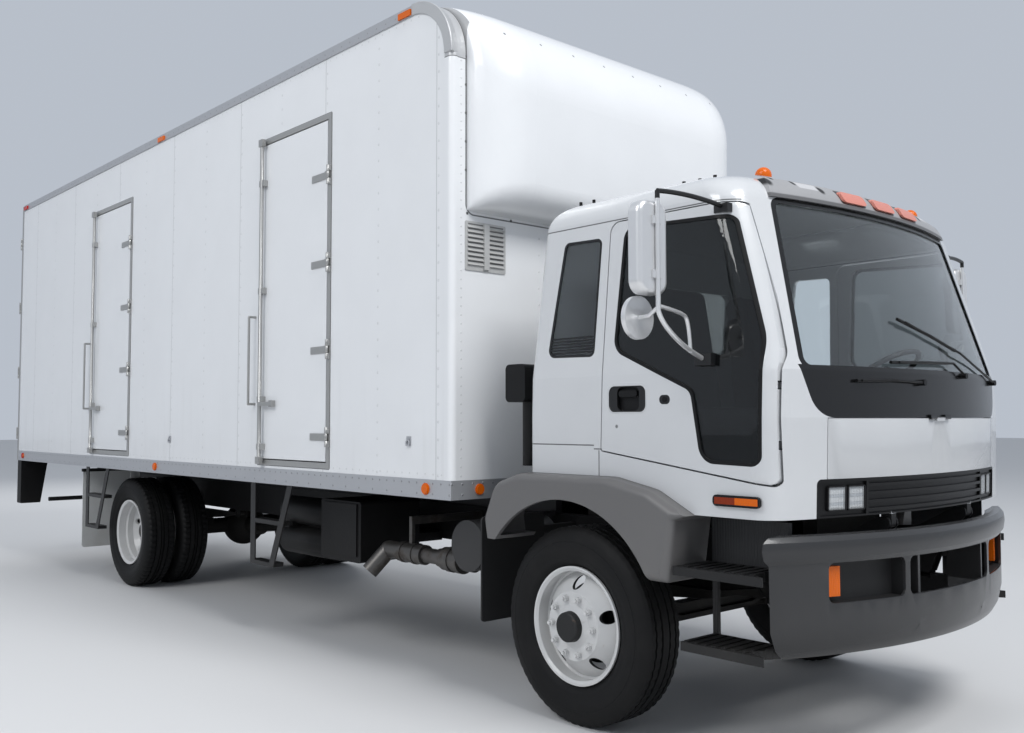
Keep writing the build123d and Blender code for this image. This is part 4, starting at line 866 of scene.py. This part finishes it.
# Half sections of a tyre, as (across, radius) in m: the wall from the bead to the shoulder, and
# each kind of tread from the shoulder to the middle
WALL = [
    (0.1010, 0.2845), (0.1012, 0.300), (0.1080, 0.308), (0.1195, 0.322), (0.1235, 0.328),
    (0.1285, 0.345), (0.1285, 0.351), (0.1345, 0.368), (0.1378, 0.388), (0.1388, 0.400),
    (0.1378, 0.420), (0.1362, 0.4215), (0.1362, 0.4255), (0.1372, 0.427), (0.1345, 0.446),
    (0.1280, 0.462), (0.1200, 0.475), (0.1150, 0.4835), (0.1080, 0.4915), (0.0990, 0.4990),
]
RIBS = [
    (0.0770, 0.4992), (0.0755, 0.4870), (0.0665, 0.4870), (0.0650, 0.4994), (0.0330, 0.4996),
    (0.0315, 0.4865), (0.0225, 0.4865), (0.0210, 0.4997), (0.0, 0.4998),
]
LUGS = [
    (0.0980, 0.4992), (0.0620, 0.4994), (0.0600, 0.4860), (0.0520, 0.4860), (0.0500, 0.4996),
    (0.0200, 0.4998), (0.0180, 0.4860), (0.0060, 0.4860), (0.0040, 0.4996), (0.0, 0.4996),
]
TYRE_STEPS = 180

# Cuts across a tread: how many, each one's share of its pitch, how far in they reach, and the
# radius from which they deepen over CUT_FADE
CUTS, CUT_SHARE = 60, 0.27
CUT_FROM_Y, CUT_FROM_R, CUT_FADE = 0.028, 0.478, 0.010


def tyre_mesh(y0, tread, depth):
    """One tyre about its own axle, with cuts across the tread's shoulders."""
    half = WALL + tread
    ring = [(-y, r) for y, r in half] + [(y, r) for y, r in reversed(half[:-1])]
    verts, faces = [], []
    for i in range(TYRE_STEPS):
        angle = 2 * math.pi * i / TYRE_STEPS
        for y, r in ring:
            phase = (i * CUTS / TYRE_STEPS + (0.5 if y > 0 else 0.0)) % 1.0
            if phase < CUT_SHARE and r > CUT_FROM_R and abs(y) > CUT_FROM_Y:
                r -= depth * min((r - CUT_FROM_R) / CUT_FADE, 1.0)
            verts.append((r * math.cos(angle), y0 + y, r * math.sin(angle)))
    n = len(ring)
    for i in range(TYRE_STEPS):
        a, b = i * n, (i + 1) % TYRE_STEPS * n
        faces += [(a + j, a + j + 1, b + j + 1, b + j) for j in range(n - 1)]
        faces.append((a + n - 1, a, b, b + n - 1))
    return verts, faces


def link(name, data, body, material):
    """Put new shape data into the scene, riding on a body."""
    piece = bpy.data.objects.new(name, data)
    bpy.context.collection.objects.link(piece)
    data.materials.append(material)
    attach(piece, body)
    return piece


def add_tyres(name, body, axle_x, centres, tread, depth, replaced):
    """One axle end's tyres as one piece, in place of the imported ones."""
    verts, faces = [], []
    for y0 in centres:
        more, more_faces = tyre_mesh(y0, tread, depth)
        faces += [tuple(i + len(verts) for i in face) for face in more_faces]
        verts += more
    mesh = bpy.data.meshes.new(name)
    mesh.from_pydata([(x + axle_x, y, z + HUB_Z) for x, y, z in verts], [], faces)
    mesh.update()
    mesh.shade_smooth()
    mesh.set_sharp_from_angle(angle=math.radians(38))
    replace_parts(link(name, mesh, body, MATERIALS["tyre"]), replaced)


for side, s in (("left", 1), ("right", -1)):
    add_tyres(f"ribbed_tyre_{side}", f"front_wheel_{side}", FRONT_AXLE, [s * 1.033], RIBS, 0.004,
              f"front_tyre_{side}")
    add_tyres(f"lugged_tyres_{side}", f"rear_wheel_{side}", REAR_AXLE, [s * 1.043, s * 0.723], LUGS,
              0.011, f"rear_tyres_{side}")


# Mirror arms, roof studs, the vent's middle bar and the roof lamps

def add_boxes(verts, faces, boxes):
    """Add upright boxes (x0, x1, y0, y1, z0, z1) to lists of verts and faces."""
    for x0, x1, y0, y1, z0, z1 in boxes:
        n = len(verts)
        foot = ((x0, y0), (x1, y0), (x1, y1), (x0, y1))
        verts += [(x, y, z) for z in (z0, z1) for x, y in foot]
        faces += [(n + 3, n + 2, n + 1, n), (n + 4, n + 5, n + 6, n + 7)]
        faces += [(n + i, n + (i + 1) % 4, n + (i + 1) % 4 + 4, n + i + 4) for i in range(4)]


def add_studs(verts, faces, studs, sides=12):
    """Add short upright rods (x, y, z0, z1, radius) to lists of verts and faces."""
    turns = [2 * math.pi * i / sides for i in range(sides)]
    for x, y, z0, z1, r in studs:
        n = len(verts)
        verts += [(x + r * math.cos(turn), y + r * math.sin(turn), z)
                  for z in (z0, z1) for turn in turns]
        faces += [(n + i, n + (i + 1) % sides, n + (i + 1) % sides + sides, n + i + sides)
                  for i in range(sides)]
        faces.append(tuple(n + sides - 1 - i for i in range(sides)))
        faces.append(tuple(n + sides + i for i in range(sides)))


def solid(name, body, material, boxes=(), studs=()):
    """One piece of upright boxes and round studs."""
    verts, faces = [], []
    add_boxes(verts, faces, boxes)
    add_studs(verts, faces, studs)
    mesh = bpy.data.meshes.new(name)
    mesh.from_pydata(verts, [], faces)
    mesh.update()
    link(name, mesh, body, material)


# Mirror arms on the left, in metres from the front axle: radius, then points
ARMS = [
    (0.011, (0.845, 1.490, 2.005), (0.845, 1.490, 2.530)),
    (0.011, (0.845, 1.490, 2.530), (0.870, 1.300, 2.545), (0.900, 1.095, 2.508)),
    (0.011, (0.845, 1.490, 2.010), (0.845, 1.470, 1.960), (0.838, 1.290, 1.850),
     (0.832, 1.150, 1.812)),
    (0.009, (0.845, 1.490, 2.030), (0.842, 1.330, 2.015), (0.838, 1.270, 1.980),
     (0.838, 1.262, 1.838)),
]
# Clamps on the head and brackets on the door: x, y and z from and to
MOUNTS = [
    (0.828, 0.845, 1.460, 1.520, 2.150, 2.185), (0.828, 0.845, 1.460, 1.520, 2.385, 2.420),
    (0.790, 0.880, 1.130, 1.172, 1.786, 1.840), (0.862, 0.938, 1.075, 1.112, 2.480, 2.520),
]


def add_mirror_arms(side, s):
    """Round arms as curves, bent where they have more than two points, and their mounts."""
    curve = bpy.data.curves.new(f"mirror_arms_{side}", "CURVE")
    curve.dimensions = "3D"
    curve.bevel_depth = 1.0
    curve.bevel_resolution = 4
    curve.use_fill_caps = True
    for r, *points in ARMS:
        bent = len(points) > 2
        run = curve.splines.new("NURBS" if bent else "POLY")
        run.points.add(len(points) - 1)
        for at, (x, y, z) in zip(run.points, points):
            at.co = (x + FRONT_AXLE, y * s, z, 1)
            at.radius = r
        if bent:
            run.order_u = 3
            run.use_endpoint_u = True
            run.resolution_u = 10
    link(f"mirror_arms_{side}", curve, f"cab_door_{side}", MATERIALS["stainless"])
    boxes = [(x0 + FRONT_AXLE, x1 + FRONT_AXLE, *sorted((y0 * s, y1 * s)), z0, z1)
             for x0, x1, y0, y1, z0, z1 in MOUNTS]
    solid(f"mirror_mounts_{side}", f"cab_door_{side}", MATERIALS["stainless"], boxes)


# Studs on the cab roof: (x from the front axle, z of the roof there), and for all of them the
# distance from the middle plane, the radius and half the height
ROOF_STUDS = [(-0.151, 2.711), (-0.054, 2.709), (0.552, 2.699), (0.649, 2.696), (0.738, 2.697)]
STUD_Y, STUD_R, STUD_HALF = 0.93, 0.009, 0.012


def add_roof_lamps():
    """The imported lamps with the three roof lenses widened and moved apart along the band."""
    mesh = nodes["cab_lamps"].data.copy()
    widening = LENS_HALF / PACKED_LENS_HALF
    for vertex in mesh.vertices:
        x, y, z = vertex.co
        if x > FRONT_AXLE + 0.97 and z > 2.5 and abs(y) < 0.3:
            place = round(y / PACKED_LENS_PITCH)
            wide = place * LENS_PITCH + (y - place * PACKED_LENS_PITCH) * widening
            vertex.co = (x + (y * y - wide * wide) / CAB_CURVE, wide, z)
    mesh.materials.clear()
    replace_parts(link("roof_and_side_lamps", mesh, "cab", cab_lens()), "cab_lamps")


for side, s in (("left", 1), ("right", -1)):
    add_mirror_arms(side, s)
solid("roof_studs", "cab", MATERIALS["black_trim"],
      studs=[(x + FRONT_AXLE, y, z - STUD_HALF, z + STUD_HALF, STUD_R)
             for x, z in ROOF_STUDS for y in (-STUD_Y, STUD_Y)])
solid("vent_bar", "chassis", OWN["box_front_wall"],
      boxes=[(BODY_FRONT + 0.004, BODY_FRONT + 0.017, VENT_MIDDLE - 0.020, VENT_MIDDLE + 0.020,
              2.415, 2.682)])
add_roof_lamps()


# Stage

def add_floor():
    bpy.ops.mesh.primitive_plane_add(size=160, location=(0, 0, 0))
    floor = bpy.context.object
    floor.name = "floor"
    s = Shader("floor_paint")
    s.set(Base_Color=(0.60, 0.60, 0.60), Roughness=0.8)
    floor.data.materials.append(s.material)


def add_light(name, at, target, size, power):
    light = bpy.data.lights.new(name, "AREA")
    light.shape = "RECTANGLE"
    light.size, light.size_y = size
    light.energy = power
    holder = bpy.data.objects.new(name, light)
    holder.location = at
    holder.rotation_euler = (Vector(target) - Vector(at)).to_track_quat("-Z", "Y").to_euler()
    bpy.context.collection.objects.link(holder)


def add_world():
    world = bpy.data.worlds.new("studio")
    bpy.context.scene.world = world
    world.use_nodes = True
    background = world.node_tree.nodes["Background"]
    background.inputs["Color"].default_value = (0.80, 0.87, 0.98, 1)
    background.inputs["Strength"].default_value = 0.60


def add_camera():
    camera = bpy.data.cameras.new("camera")
    camera.sensor_width = 36
    camera.lens = CAMERA_LENS
    camera.clip_end = 300
    holder = bpy.data.objects.new("camera", camera)
    level = math.cos(CAMERA_PITCH)
    ahead = Vector((level * math.cos(CAMERA_YAW), level * math.sin(CAMERA_YAW),
                    math.sin(CAMERA_PITCH)))
    turn = ahead.to_track_quat("-Z", "Y").to_matrix() @ Matrix.Rotation(CAMERA_ROLL, 3, "Z")
    holder.matrix_world = Matrix.Translation(CAMERA_AT) @ turn.to_4x4()
    bpy.context.collection.objects.link(holder)
    bpy.context.scene.camera = holder


add_floor()
add_world()
add_light("key", (2, -13, 11), (-1.5, 0, 1.5), (8, 6), 900)
add_light("front", (13, -1, 14), (2.5, 0, 3), (7, 6), 2000)
add_light("back", (-14, 8, 9), (-2, 0, 2), (8, 6), 700)
add_camera()
bpy.context.scene.view_settings.view_transform = "Standard"
